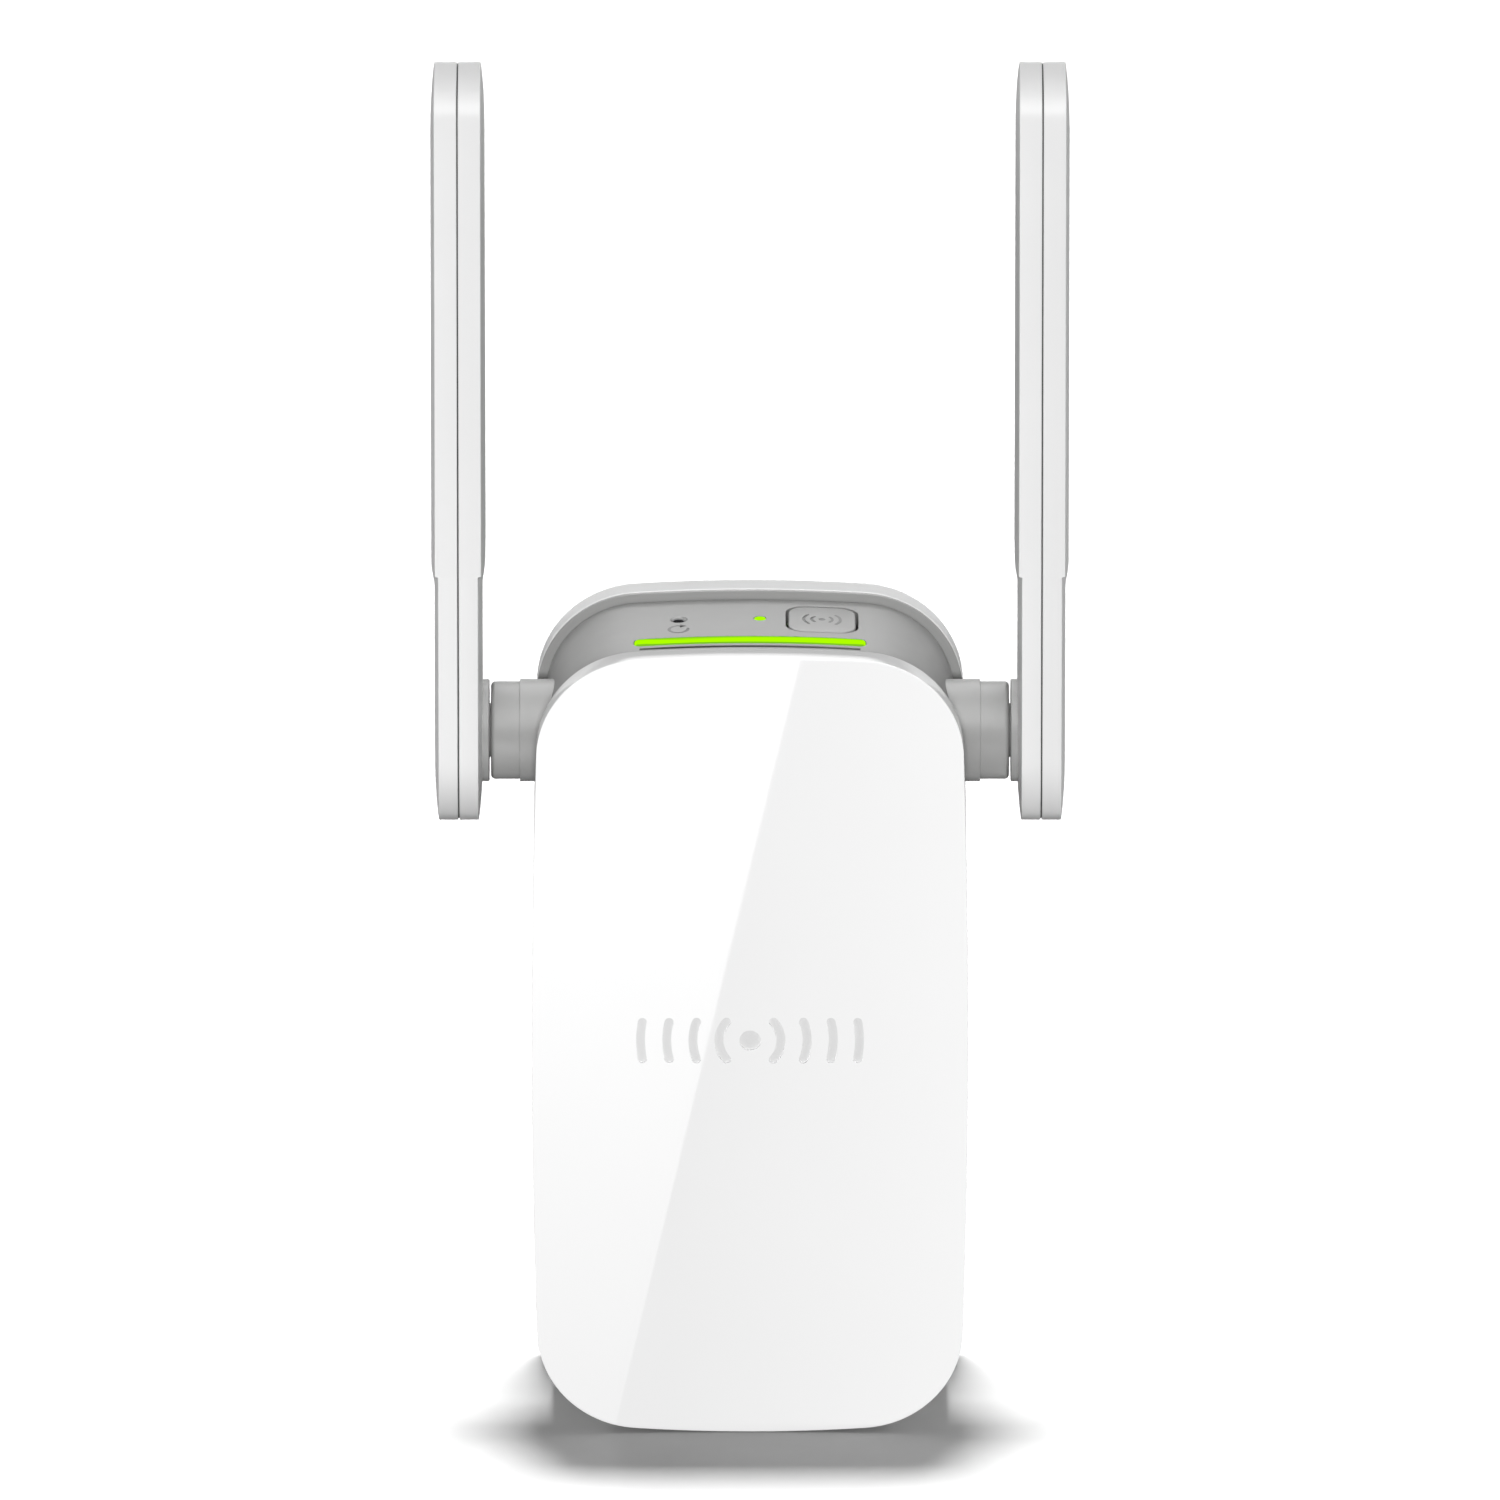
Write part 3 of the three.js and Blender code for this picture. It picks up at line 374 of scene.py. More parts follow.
def mirrored(obj, name):
    """A copy of a piece reflected to the left side."""
    copy = new_object(name, obj.data.copy())
    copy.data.name = name
    copy.data.transform(Matrix.Scale(-1, 4, (1, 0, 0)))
    copy.data.flip_normals()
    return copy


def show(obj, body, slot_name, material, *replaced, sharp=32):
    """Finishes a visible piece: shading, material, body and the CAD nodes it stands for; the slot name is not
    used.
    """
    obj.data.materials.clear()
    obj.data.materials.append(material)
    obj.data.shade_smooth()
    obj.data.set_sharp_from_angle(angle=math.radians(sharp))
    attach(obj, body)
    if replaced:
        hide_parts(*replaced)
    return obj


# ---------------------------------------------------------------- materials

class Shader:
    """A node material with a Principled surface and short ways to add nodes to it."""

    def __init__(self, name):
        self.material = bpy.data.materials.new(name)
        self.material.use_nodes = True
        self.tree = self.material.node_tree
        self.surface = self.tree.nodes["Principled BSDF"]
        self.place = self.tree.nodes.new("ShaderNodeTexCoord").outputs["Object"]

    def link(self, source, target):
        self.tree.links.new(source, target)

    def set(self, **values):
        for name, value in values.items():
            socket = self.surface.inputs[name.replace("_", " ")]
            socket.default_value = (*value, 1) if isinstance(value, tuple) else value

    def noise(self, scale, detail=2.0, stretch=(1, 1, 1)):
        mapping = self.tree.nodes.new("ShaderNodeMapping")
        mapping.inputs["Scale"].default_value = stretch
        self.link(self.place, mapping.inputs["Vector"])
        texture = self.tree.nodes.new("ShaderNodeTexNoise")
        texture.inputs["Scale"].default_value = scale
        texture.inputs["Detail"].default_value = detail
        self.link(mapping.outputs["Vector"], texture.inputs["Vector"])
        return texture.outputs["Fac"]

    def ramp(self, factor, stops):
        node = self.tree.nodes.new("ShaderNodeValToRGB")
        elements = node.color_ramp.elements
        while len(elements) < len(stops):
            elements.new(0.5)
        for element, (position, colour) in zip(elements, stops):
            element.position = position
            element.color = (*colour, 1)
        self.link(factor, node.inputs["Fac"])
        return node.outputs["Color"]

    def spread(self, factor, low, high):
        node = self.tree.nodes.new("ShaderNodeMapRange")
        node.inputs["To Min"].default_value = low
        node.inputs["To Max"].default_value = high
        self.link(factor, node.inputs["Value"])
        return node.outputs["Result"]

    def bump(self, height, strength, distance):
        node = self.tree.nodes.new("ShaderNodeBump")
        node.inputs["Strength"].default_value = strength
        node.inputs["Distance"].default_value = distance
        self.link(height, node.inputs["Height"])
        self.link(node.outputs["Normal"], self.surface.inputs["Normal"])


def shade(colour, change):
    return tuple(min(1, channel * (1 + change)) for channel in colour)


def moulded(name, colour, roughness, grain=0.0, vary=0.015, coat=0.0, scale=2600, gloss=0.5):
    """Moulded plastic: slight cloudiness, uneven gloss and, where it is textured, a fine spark grain."""
    shader = Shader(name)
    cloud = shader.noise(55, 3)
    shader.link(shader.ramp(cloud, [(0.3, shade(colour, -vary)), (0.7, shade(colour, vary))]),
                shader.surface.inputs["Base Color"])
    shader.link(shader.spread(shader.noise(240, 4), roughness * 0.85, roughness * 1.15),
                shader.surface.inputs["Roughness"])
    shader.set(IOR=1.5, Specular_IOR_Level=gloss, Coat_Weight=coat, Coat_Roughness=0.04)
    if grain:
        shader.bump(shader.noise(scale, 3), grain, 0.03 * MM)
    return shader.material


def metal(name, colour, roughness, stretch=(1, 1, 1), scale=900, brush=0.2):
    """Metal with fine drawing or rolling marks."""
    shader = Shader(name)
    marks = shader.noise(scale, 4, stretch)
    shader.link(shader.ramp(marks, [(0.3, shade(colour, -0.08)), (0.7, shade(colour, 0.05))]),
                shader.surface.inputs["Base Color"])
    shader.link(shader.spread(marks, roughness * 0.75, roughness * 1.3), shader.surface.inputs["Roughness"])
    shader.set(Metallic=1.0)
    shader.bump(marks, brush, 0.02 * MM)
    return shader.material


def circuit_board(name):
    """Green solder mask over copper tracks and small component pads."""
    shader = Shader(name)
    brick = shader.tree.nodes.new("ShaderNodeTexBrick")
    brick.inputs["Scale"].default_value = 240
    brick.inputs["Color1"].default_value = (0.015, 0.11, 0.04, 1)
    brick.inputs["Color2"].default_value = (0.02, 0.16, 0.06, 1)
    brick.inputs["Mortar"].default_value = (0.03, 0.22, 0.09, 1)
    turn = shader.tree.nodes.new("ShaderNodeMapping")
    turn.inputs["Rotation"].default_value = (math.pi / 2, 0, 0)
    shader.link(shader.place, turn.inputs["Vector"])
    shader.link(turn.outputs["Vector"], brick.inputs["Vector"])
    shader.link(brick.outputs["Color"], shader.surface.inputs["Base Color"])
    shader.link(shader.spread(shader.noise(700, 3), 0.3, 0.5), shader.surface.inputs["Roughness"])
    shader.bump(brick.outputs["Fac"], 0.3, 0.04 * MM)
    return shader.material


def light_guide(name, middle, half_width, core, edge, strength):
    """A lit translucent guide: brightest along its middle line, deeper green at its edges."""
    shader = Shader(name)
    split = shader.tree.nodes.new("ShaderNodeSeparateXYZ")
    shader.link(shader.place, split.inputs["Vector"])
    away = shader.tree.nodes.new("ShaderNodeMath")
    away.operation = "SUBTRACT"
    away.inputs[1].default_value = middle
    shader.link(split.outputs["Y"], away.inputs[0])
    size = shader.tree.nodes.new("ShaderNodeMath")
    size.operation = "ABSOLUTE"
    shader.link(away.outputs["Value"], size.inputs[0])
    share = shader.tree.nodes.new("ShaderNodeMath")
    share.operation = "DIVIDE"
    share.inputs[1].default_value = half_width
    shader.link(size.outputs["Value"], share.inputs[0])
    colour = shader.ramp(share.outputs["Value"], [(0.0, core), (0.5, core), (0.8, edge), (1.0, edge)])
    shader.link(colour, shader.surface.inputs["Emission Color"])
    shader.link(shader.spread(shader.noise(500, 2), 0.25, 0.35), shader.surface.inputs["Roughness"])
    shader.set(Base_Color=(0.01, 0.03, 0.0), Specular_IOR_Level=0.0, Emission_Strength=strength)
    return shader.material


WHITE_GLOSS = moulded("white_gloss", (0.87, 0.87, 0.87), 0.02, vary=0.004, coat=0.1)
WHITE_SATIN = moulded("white_satin", (0.74, 0.74, 0.74), 0.36, grain=0.05, vary=0.008)
GREY_SATIN = moulded("grey_satin", (0.26, 0.26, 0.257), 0.42, grain=0.12, gloss=0.7)
MARK_GREY = moulded("mark_grey", (0.64, 0.64, 0.64), 0.3, grain=0.05)
# Dark inlays at the bottom of the engraved icons: painted shade standing in for the engravings' depth.
ICON_SHADE = moulded("icon_shade", (0.12, 0.12, 0.12), 0.5, grain=0.1)
LABEL_FOIL = moulded("label_foil", (0.62, 0.62, 0.63), 0.35, grain=0.1, scale=5200)
# Near-black fill for the reveal groove and the antenna seams: painted shade standing in for the dark of those
# gaps.
SHADE_FILL = moulded("painted_shade_fill", (0.06, 0.06, 0.06), 0.9, grain=0.6, scale=3500)
BLACK_PLASTIC = moulded("black_plastic", (0.018, 0.018, 0.02), 0.4, grain=0.2)
CREAM_PLASTIC = moulded("cream_plastic", (0.66, 0.61, 0.48), 0.45, grain=0.1)
CAPACITOR_SLEEVE = moulded("capacitor_sleeve", (0.02, 0.03, 0.08), 0.25, grain=0.05)
YELLOW_TAPE = moulded("yellow_tape", (0.7, 0.46, 0.05), 0.3, grain=0.2, scale=900)
FERRITE = moulded("ferrite", (0.045, 0.045, 0.05), 0.7, grain=0.5, scale=1400)
BLUE_EPOXY = moulded("blue_epoxy", (0.03, 0.12, 0.4), 0.25, grain=0.15, scale=500)
LED_BODY = moulded("led_body", (0.85, 0.83, 0.68), 0.3)
COAX_JACKET = moulded("coax_jacket", (0.025, 0.025, 0.027), 0.45, grain=0.2)
PLATING = metal("nickel_plating", (0.72, 0.7, 0.66), 0.22, stretch=(1, 0.06, 1), brush=0.12)
TIN = metal("tin_plate", (0.6, 0.6, 0.61), 0.35)
ALUMINIUM = metal("aluminium", (0.62, 0.63, 0.64), 0.4, stretch=(0.05, 1, 1))
GOLD = metal("gold_plate", (0.8, 0.55, 0.18), 0.25)
ZINC = metal("zinc_steel", (0.45, 0.46, 0.48), 0.35)
BOARD = circuit_board("circuit_board")

GREEN_CORE = (0.43, 1.0, 0.0)
GREEN_EDGE = (0.2, 0.52, 0.02)
LIGHT_BAR_MIDDLE = (BAR_LOW.y + BAR_HIGH.y) / 2


# ---------------------------------------------------------------- camera, light and floor

def add_camera():
    """A long lens from straight in front and above, so that parallel edges stay parallel."""
    elevation = math.radians(21)
    framed_height = 189.2 * MM
    aim = Vector((0, -14 * MM, 34.7 * MM))
    camera = bpy.data.cameras.new("camera")
    camera.sensor_width = 36
    camera.lens = 1000
    distance = framed_height * camera.lens / camera.sensor_width
    camera.clip_start = 0.1
    camera.clip_end = 60
    obj = new_object("camera", camera)
    back = Vector((0, -math.cos(elevation), math.sin(elevation)))
    obj.location = aim + back * distance
    obj.rotation_mode = "QUATERNION"
    obj.rotation_quaternion = (-back).to_track_quat("-Z", "Y")
    bpy.context.scene.camera = obj


def add_softbox(name, place, target, size, power):
    light = bpy.data.lights.new(name, "AREA")
    light.shape = "RECTANGLE"
    light.size, light.size_y = size
    light.energy = power
    obj = new_object(name, light)
    obj.location = place
    obj.rotation_mode = "QUATERNION"
    obj.rotation_quaternion = (Vector(target) - Vector(place)).to_track_quat("-Z", "Y")
    return obj


# What glossy surfaces see of the sky: (the upward part of the direction, strength).
SKY_FOOT = -0.2
SKY_BRIGHTEST = 5.0
SKY_STRENGTH = [
    (SKY_FOOT, 0.2),
    (0, 1.2),
    (0.2, 1.3),
    (0.31, 0.6),
    (0.41, 0.6),
    (0.47, 4.6),
    (0.9, SKY_BRIGHTEST),
]


def add_world():
    """Soft light from all round. Glossy surfaces see a bright sky over a dim ground instead."""
    world = bpy.data.worlds.new("studio")
    world.use_nodes = True
    tree = world.node_tree
    place = tree.nodes.new("ShaderNodeTexCoord")
    split = tree.nodes.new("ShaderNodeSeparateXYZ")
    tree.links.new(place.outputs["Generated"], split.inputs["Vector"])

    def matt_sky():
        """Dim below and a little brighter above, with a soft change between them."""
        node = tree.nodes.new("ShaderNodeMapRange")
        node.interpolation_type = "SMOOTHSTEP"
        for name, value in (("From Min", -0.6), ("From Max", 0.5), ("To Min", 0.04), ("To Max", 0.2)):
            node.inputs[name].default_value = value
        tree.links.new(split.outputs["Z"], node.inputs["Value"])
        return node.outputs["Result"]

    def glossy_sky():
        """Brighter upward, with a duller strip at the height that level tops mirror to the front."""
        height = tree.nodes.new("ShaderNodeMapRange")
        height.inputs["From Min"].default_value = SKY_FOOT
        height.inputs["From Max"].default_value = 1
        tree.links.new(split.outputs["Z"], height.inputs["Value"])
        ramp = tree.nodes.new("ShaderNodeValToRGB")
        stops = ramp.color_ramp.elements
        stops.remove(stops[1])
        stops[0].position = 0
        for index, (upward, strength) in enumerate(SKY_STRENGTH):
            stop = stops[0] if index == 0 else stops.new((upward - SKY_FOOT) / (1 - SKY_FOOT))
            shown = strength / SKY_BRIGHTEST
            stop.color = (shown, shown, shown, 1)
        tree.links.new(height.outputs["Result"], ramp.inputs["Fac"])
        scale = tree.nodes.new("ShaderNodeMath")
        scale.operation = "MULTIPLY"
        scale.inputs[1].default_value = SKY_BRIGHTEST
        tree.links.new(ramp.outputs["Color"], scale.inputs[0])
        return scale.outputs["Value"]

    path = tree.nodes.new("ShaderNodeLightPath")
    mix = tree.nodes.new("ShaderNodeMix")
    tree.links.new(path.outputs["Is Glossy Ray"], mix.inputs["Factor"])
    tree.links.new(matt_sky(), mix.inputs["A"])
    tree.links.new(glossy_sky(), mix.inputs["B"])
    tree.links.new(mix.outputs["Result"], tree.nodes["Background"].inputs["Strength"])
    tree.nodes["Background"].inputs["Color"].default_value = (1, 1, 1, 1)
    bpy.context.scene.world = world
    bpy.context.scene.view_settings.view_transform = "Standard"


def add_floor():
    """A pale floor with a light of its own, from above and a little behind the object."""
    floor = box("floor", (-15, -15, CAD_LOW.z - 10 * MM), (15, 15, CAD_LOW.z - 0.05 * MM))
    floor.data.materials.append(moulded("floor_paint", (0.3, 0.3, 0.3), 0.8, vary=0.002))
    floor.visible_diffuse = False
    floor.visible_glossy = False
    return floor


def light_floor(floor):
    """Lights the floor alone, from above and a little behind, with only the case's pieces shading it."""
    above = add_softbox("floor_light", (0, 0.44, 3.0), (0, 0, CAD_LOW.z), (0.5, 0.3), 300)
    receivers = bpy.data.collections.new("lit_floor")
    receivers.objects.link(floor)
    above.light_linking.receiver_collection = receivers
    blockers = bpy.data.collections.new("case_shade")
    for obj in bpy.context.scene.objects:
        if obj.get("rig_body") == "case":
            blockers.objects.link(obj)
    above.light_linking.blocker_collection = blockers


def add_lights():
    """A key from the front and a fill from each other side, none of which shows in a reflection."""
    middle = (0, 0, 30 * MM)
    for light in (
        add_softbox("key", (0, -3.0, 1.0), middle, (0.5, 0.4), 91),
        add_softbox("back_fill", (0, 2.5, 0.25), middle, (1.2, 0.8), 34),
        add_softbox("left_fill", (-3, 0.2, 0.3), middle, (1.2, 1.2), 36),
        add_softbox("right_fill", (3, 0.2, 0.3), middle, (1.2, 1.2), 36),
    ):
        light.visible_glossy = False


def add_reflection_card(name, reach, axis, start, end, dim, bright):
    """A card in front of the case that only reflections show.

    It lies level and runs sideways from a slanted line, and its glow changes evenly along x or y
    from start to end.
    """
    height = CAD_LOW.z + MM
    near_edge = Vector((-16.65 * MM, -32 * MM, height))
    far_edge = Vector((6.7 * MM, -300 * MM, height))
    along = far_edge - near_edge
    near, far = near_edge - along * 0.2, far_edge + along * 0.6
    aside = Vector((reach, 0, 0))
    bm = bmesh.new()
    bm.faces.new([bm.verts.new(point) for point in (near, far, far + aside, near + aside)])
    mesh = bpy.data.meshes.new(name)
    bm.to_mesh(mesh)
    bm.free()
    card = new_object(name, mesh)
    shader = Shader(f"{name}_glow")
    split = shader.tree.nodes.new("ShaderNodeSeparateXYZ")
    shader.link(shader.place, split.inputs["Vector"])
    fade = shader.tree.nodes.new("ShaderNodeMapRange")
    for field, value in (("From Min", start), ("From Max", end), ("To Min", dim), ("To Max", bright)):
        fade.inputs[field].default_value = value
    shader.link(split.outputs[axis], fade.inputs["Value"])
    shader.link(fade.outputs["Result"], shader.surface.inputs["Emission Strength"])
    shader.set(Base_Color=(0.0, 0.0, 0.0), Emission_Color=(1.0, 1.0, 1.0))
    card.data.materials.append(shader.material)
    card.visible_camera = False
    card.visible_diffuse = False
    card.visible_transmission = False
    card.visible_shadow = False


# ---------------------------------------------------------------- case

def rounded_edge(radius, steps):
    """A quarter round from a side to a face, as (inset from the side, depth below the face)."""
    angles = [math.pi / 2 * i / steps for i in range(steps + 1)]
    return [(radius - radius * math.cos(angle), radius - radius * math.sin(angle)) for angle in angles]


EMBLEM_CENTRE = (0, 0.75 * MM)
EMBLEM_HALF_HEIGHT = 3.05 * MM
EMBLEM_STROKE = 1.15 * MM
EMBLEM_DEPTH = 0.28 * MM
EMBLEM_RADII = [3.9 * MM, 7.2 * MM, 10.5 * MM, 13.8 * MM]


def emblem_outlines(shrink=0.0):
    """A dot between waves that spread to both sides: a general sign for wireless."""
    outlines = [disc_outline(EMBLEM_CENTRE, 1.35 * MM - shrink)]
    for radius in EMBLEM_RADII:
        half_angle = min(0.85, math.asin(EMBLEM_HALF_HEIGHT / radius)) - EMBLEM_STROKE / 2 / radius
        half_stroke = EMBLEM_STROKE / 2 - shrink
        for facing in (0, math.pi):
            outlines.append(arc_band(EMBLEM_CENTRE, radius - half_stroke, radius + half_stroke,
                                     facing - half_angle, facing + half_angle))
    return outlines


def build_front_cover():
    back = FRONT_FACE + COVER_DEPTH
    profile = [
        (RIM_WALL, FRONT_FACE + COVER_WALL),
        (RIM_WALL, back),
        (RIM_CHAMFER, back),
        (0, back - RIM_CHAMFER),
        *[(inset, FRONT_FACE + depth) for inset, depth in rounded_edge(FRONT_EDGE, 6)],
        (FRONT_EDGE + EDGE_SUPPORT, FRONT_FACE),
    ]
    cover = case_skin("front_cover_shell", profile)
    recesses = [
        prism("recess", outline, FRONT_FACE - MM, FRONT_FACE + EMBLEM_DEPTH, axis="y")
        for outline in emblem_outlines()
    ]
    cut(cover, *recesses)
    show(cover, "case", "gloss_white", WHITE_GLOSS, "front_cover")
    for i, outline in enumerate(emblem_outlines(shrink=0.02 * MM)):
        inlay = prism(f"emblem_inlay_{i + 1}", outline,
                      FRONT_FACE + EMBLEM_DEPTH - 0.06 * MM, FRONT_FACE + EMBLEM_DEPTH - 0.005 * MM, axis="y")
        show(inlay, "case", "gloss_white", MARK_GREY)


def build_rear_cover():
    front = REAR_LOW.y
    profile = [
        (RIM_WALL, WALL_FACE - COVER_WALL),
        (RIM_WALL, front),
        (RIM_CHAMFER, front),
        (0, front + RIM_CHAMFER),
        *[(inset, WALL_FACE - depth) for inset, depth in rounded_edge(BACK_EDGE, 8)],
        (BACK_EDGE + EDGE_SUPPORT, WALL_FACE),
    ]
    cover = case_skin("rear_cover_shell", profile)
    beyond = 5 * MM
    well = [
        (CORE, -2.2 * MM),
        (2.1 * MM, -2.2 * MM),
        (2.1 * MM, -0.3 * MM),
        (2.4 * MM, 0),
        (2.4 * MM, MM),
        (CORE, MM),
    ]
    tools = []
    for side in (-1, 1):
        low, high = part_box("plug_blade_right" if side > 0 else "plug_blade_left")
        gap = 0.1 * MM
        tools.append(box("slot", (low.x - gap, -beyond, low.z - gap), (high.x + gap, beyond, high.z + gap)))
        for row in range(VENT_ROWS):
            vent = rounded_box((side * VENT_SIDE, VENT_LOWEST + VENT_PITCH * row), *VENT_SIZE, VENT_CORNER)
            tools.append(prism("vent", vent, -beyond, beyond, "y"))
        for up in (-1, 1):
            tools.append(lathe("well", well, "y", (side * SCREW_X, 0, up * SCREW_Z), 40, ringed=False))
    seat = rounded_box((0, (LABEL_LOW.z + LABEL_HIGH.z) / 2), 32.4 * MM, 22.4 * MM, 1.2 * MM)
    tools.append(prism("seat", seat, -0.35 * MM, MM, "y"))
    cut(cover, *tools)
    show(cover, "case", "satin_white", WHITE_SATIN, "rear_cover")


def circular_arrow(centre, radius, stroke):
    """A ring with a gap, and the triangle that points across it."""
    start, end = math.radians(70), math.radians(370)
    ring = arc_band(centre, radius - stroke / 2, radius + stroke / 2, start, end)
    tip_x = centre[0] + radius * math.cos(start)
    tip_y = centre[1] + radius * math.sin(start)
    size = stroke * 1.5
    head = [(tip_x + size, tip_y), (tip_x - size * 0.4, tip_y + size), (tip_x - size * 0.4, tip_y - size)]
    return [ring, head]


def build_middle_frame():
    front = FRONT_FACE + COVER_DEPTH + 0.1 * MM
    back = FRAME_HIGH.y
    inside = FRAME_RECESS + FRAME_WALL
    ledge = back - FLANGE_DEPTH
    body = case_skin("middle_frame_shell", [
        (inside, front),
        (FRAME_RECESS, front),
        (FRAME_RECESS, ledge - CREASE_WIDTH),
        (FRAME_RECESS + CREASE_DEPTH, ledge - CREASE_WIDTH),
        (FRAME_RECESS + CREASE_DEPTH, ledge - 0.01 * MM),
        (inside, ledge - 0.01 * MM),
    ], ringed=True)
    flange = case_skin("frame_flange", [
        (inside, ledge),
        (FLANGE_INSET + 0.06 * MM, ledge),
        (FLANGE_INSET, ledge + 0.06 * MM),
        (FLANGE_INSET, back),
        (inside, back),
    ], ringed=True)
    show(flange, "case", "satin_grey", GREY_SATIN)
    collar_start = 23.6 * MM
    bore_start, bore_end = 20 * MM, 30 * MM
    for side in (-1, 1):
        collar = lathe("collar", [
            (COLLAR_BORE, side * collar_start),
            (COLLAR_RADIUS, side * collar_start),
            (COLLAR_RADIUS, side * COLLAR_END),
            (COLLAR_BORE, side * COLLAR_END),
        ], "x", HINGE, 96)
        join(body, collar)
        cut(body, round_tool(COLLAR_BORE, side * bore_start, side * bore_end, HINGE, 96))
    bar_opening = [length + 2 * BAR_GAP for length in BAR_SIZE]
    bar = rounded_box((0, LIGHT_BAR_MIDDLE), *bar_opening, BAR_CORNER + BAR_GAP)
    opening_size = BUTTON_SIZE + 2 * BUTTON_GAP
    opening = rounded_box(BUTTON_CENTRE, opening_size, opening_size, BUTTON_CORNER + BUTTON_GAP)
    under = 45 * MM
    over = 60 * MM
    reset_top = frame_top(RESET_CENTRE[0])
    reset_hole = [
        (CORE, under),
        (PINHOLE_RADIUS, under),
        (PINHOLE_RADIUS, reset_top - 0.2 * MM),
        (PINHOLE_RADIUS + 0.2 * MM, reset_top + 0.03 * MM),
        (PINHOLE_RADIUS + 0.2 * MM, over),
        (CORE, over),
    ]
    reveal_low = (-REVEAL_HALF_WIDTH, REVEAL_FRONT, frame_top(REVEAL_HALF_WIDTH) - REVEAL_DEPTH)
    tools = [
        prism("opening", opening, under, over),
        prism("bar_slot", bar, under, over),
        prism("status_hole", disc_outline(STATUS_CENTRE, LENS_RADIUS + 0.1 * MM), under, over),
        lathe("reset_hole", reset_hole, "z", (*RESET_CENTRE, 0), 48, ringed=False),
        box("reveal", reveal_low, (REVEAL_HALF_WIDTH, REVEAL_BACK, over)),
        box("jack_way", (-JACK_HALF_WIDTH, JACK_FRONT, -over), (JACK_HALF_WIDTH, JACK_BACK, JACK_TOP)),
    ]
    arrow_centre = (RESET_CENTRE[0], -14.3 * MM)
    for i, outline in enumerate(circular_arrow(arrow_centre, 1.2 * MM, 0.4 * MM)):
        tools.append(prism("arrow", outline, reset_top - 0.15 * MM, over))
        # A dark inlay at the bottom of each engraved stroke: painted shade.
        inlay = prism(f"reset_icon_{i + 1}", outline, reset_top - 0.2 * MM, reset_top - 0.05 * MM)
        show(inlay, "case", "satin_grey", ICON_SHADE)
    sleeve = lathe("reset_sleeve", [
        (0.7 * MM, reset_top - 2.4 * MM),
        (PINHOLE_RADIUS - 0.02 * MM, reset_top - 2.4 * MM),
        (PINHOLE_RADIUS - 0.02 * MM, reset_top - 0.2 * MM),
        (0.7 * MM, reset_top - 0.26 * MM),
    ], "z", (*RESET_CENTRE, 0), 48)
    show(sleeve, "case", "black_plastic", BLACK_PLASTIC)
    post_hole, post_radius = 0.95 * MM, 2.8 * MM
    post_start, post_end = front + MM, ledge - 0.02 * MM
    post_profile = [
        (post_hole, post_start),
        (post_radius, post_start),
        (post_radius, post_end),
        (post_hole, post_end),
    ]
    for side in (-1, 1):
        for up in (-1, 1):
            join(body, lathe("post", post_profile, "y", (side * SCREW_X, 0, up * SCREW_Z), 32))
    cut(body, *tools)
    show(body, "case", "satin_grey", GREY_SATIN, "middle_frame")


# ---------------------------------------------------------------- lights and controls

def crowned_pad(name, outline_at, bottom, rise, edge, steps=5):
    """A flush key or window: upright sides, a rounded edge and a top that follows the frame's crown."""
    loops = [[(x, y, bottom) for x, y in outline_at(0)]]
    for i in range(steps + 1):
        angle = math.pi / 2 * i / steps
        inset = edge * (1 - math.cos(angle))
        lift = edge * (math.sin(angle) - 1) + rise
        loops.append([(x, y, frame_top(x) + lift) for x, y in outline_at(inset)])
    return skin(name, loops)


def long_pad(centre, width, length, radius, columns=40):
    """A rounded rectangle with extra points along its two long sides, so that it can follow a crown."""
    x, y = centre
    right, back = width / 2 - radius, length / 2 - radius
    side = [x + right - 2 * right * i / columns for i in range(columns)]
    return (
        arc(x + right, y + back, radius, 0, math.pi / 2, 8)
        + [(at, y + length / 2) for at in side]
        + arc(x - right, y + back, radius, math.pi / 2, math.pi, 8)
        + [(x - width / 2, y + back)]
        + arc(x - right, y - back, radius, math.pi, 1.5 * math.pi, 8)
        + [(2 * x - at, y - length / 2) for at in side]
        + arc(x + right, y - back, radius, 1.5 * math.pi, 2 * math.pi, 8)
        + [(x + width / 2, y - back)]
    )


def build_light_bar():
    def outline_at(inset):
        width, length = [size - 2 * inset for size in BAR_SIZE]
        return long_pad((0, LIGHT_BAR_MIDDLE), width, length, BAR_CORNER - inset)

    bar = crowned_pad("light_bar_guide", outline_at, 47 * MM, 0.1 * MM, 0.25 * MM)
    material = light_guide("lit_bar", LIGHT_BAR_MIDDLE, BAR_SIZE[1] / 2, GREEN_CORE, GREEN_EDGE, 1.0)
    show(bar, "case", "green_lens", material, "light_bar")


def build_reveal_strip():
    """A dark strip in the thin groove in front of the light bar: painted shade in the groove."""
    middle = (REVEAL_FRONT + REVEAL_BACK) / 2
    gap = 0.05 * MM

    def outline_at(inset):
        width = 2 * (REVEAL_HALF_WIDTH - gap - inset)
        length = REVEAL_BACK - REVEAL_FRONT - gap - 2 * inset
        return long_pad((0, middle), width, length, 0.1 * MM - inset)

    foot = frame_top(REVEAL_HALF_WIDTH) - REVEAL_DEPTH + gap
    strip = crowned_pad("reveal_strip", outline_at, foot, -0.06 * MM, 0.03 * MM)
    show(strip, "case", "black_plastic", SHADE_FILL)


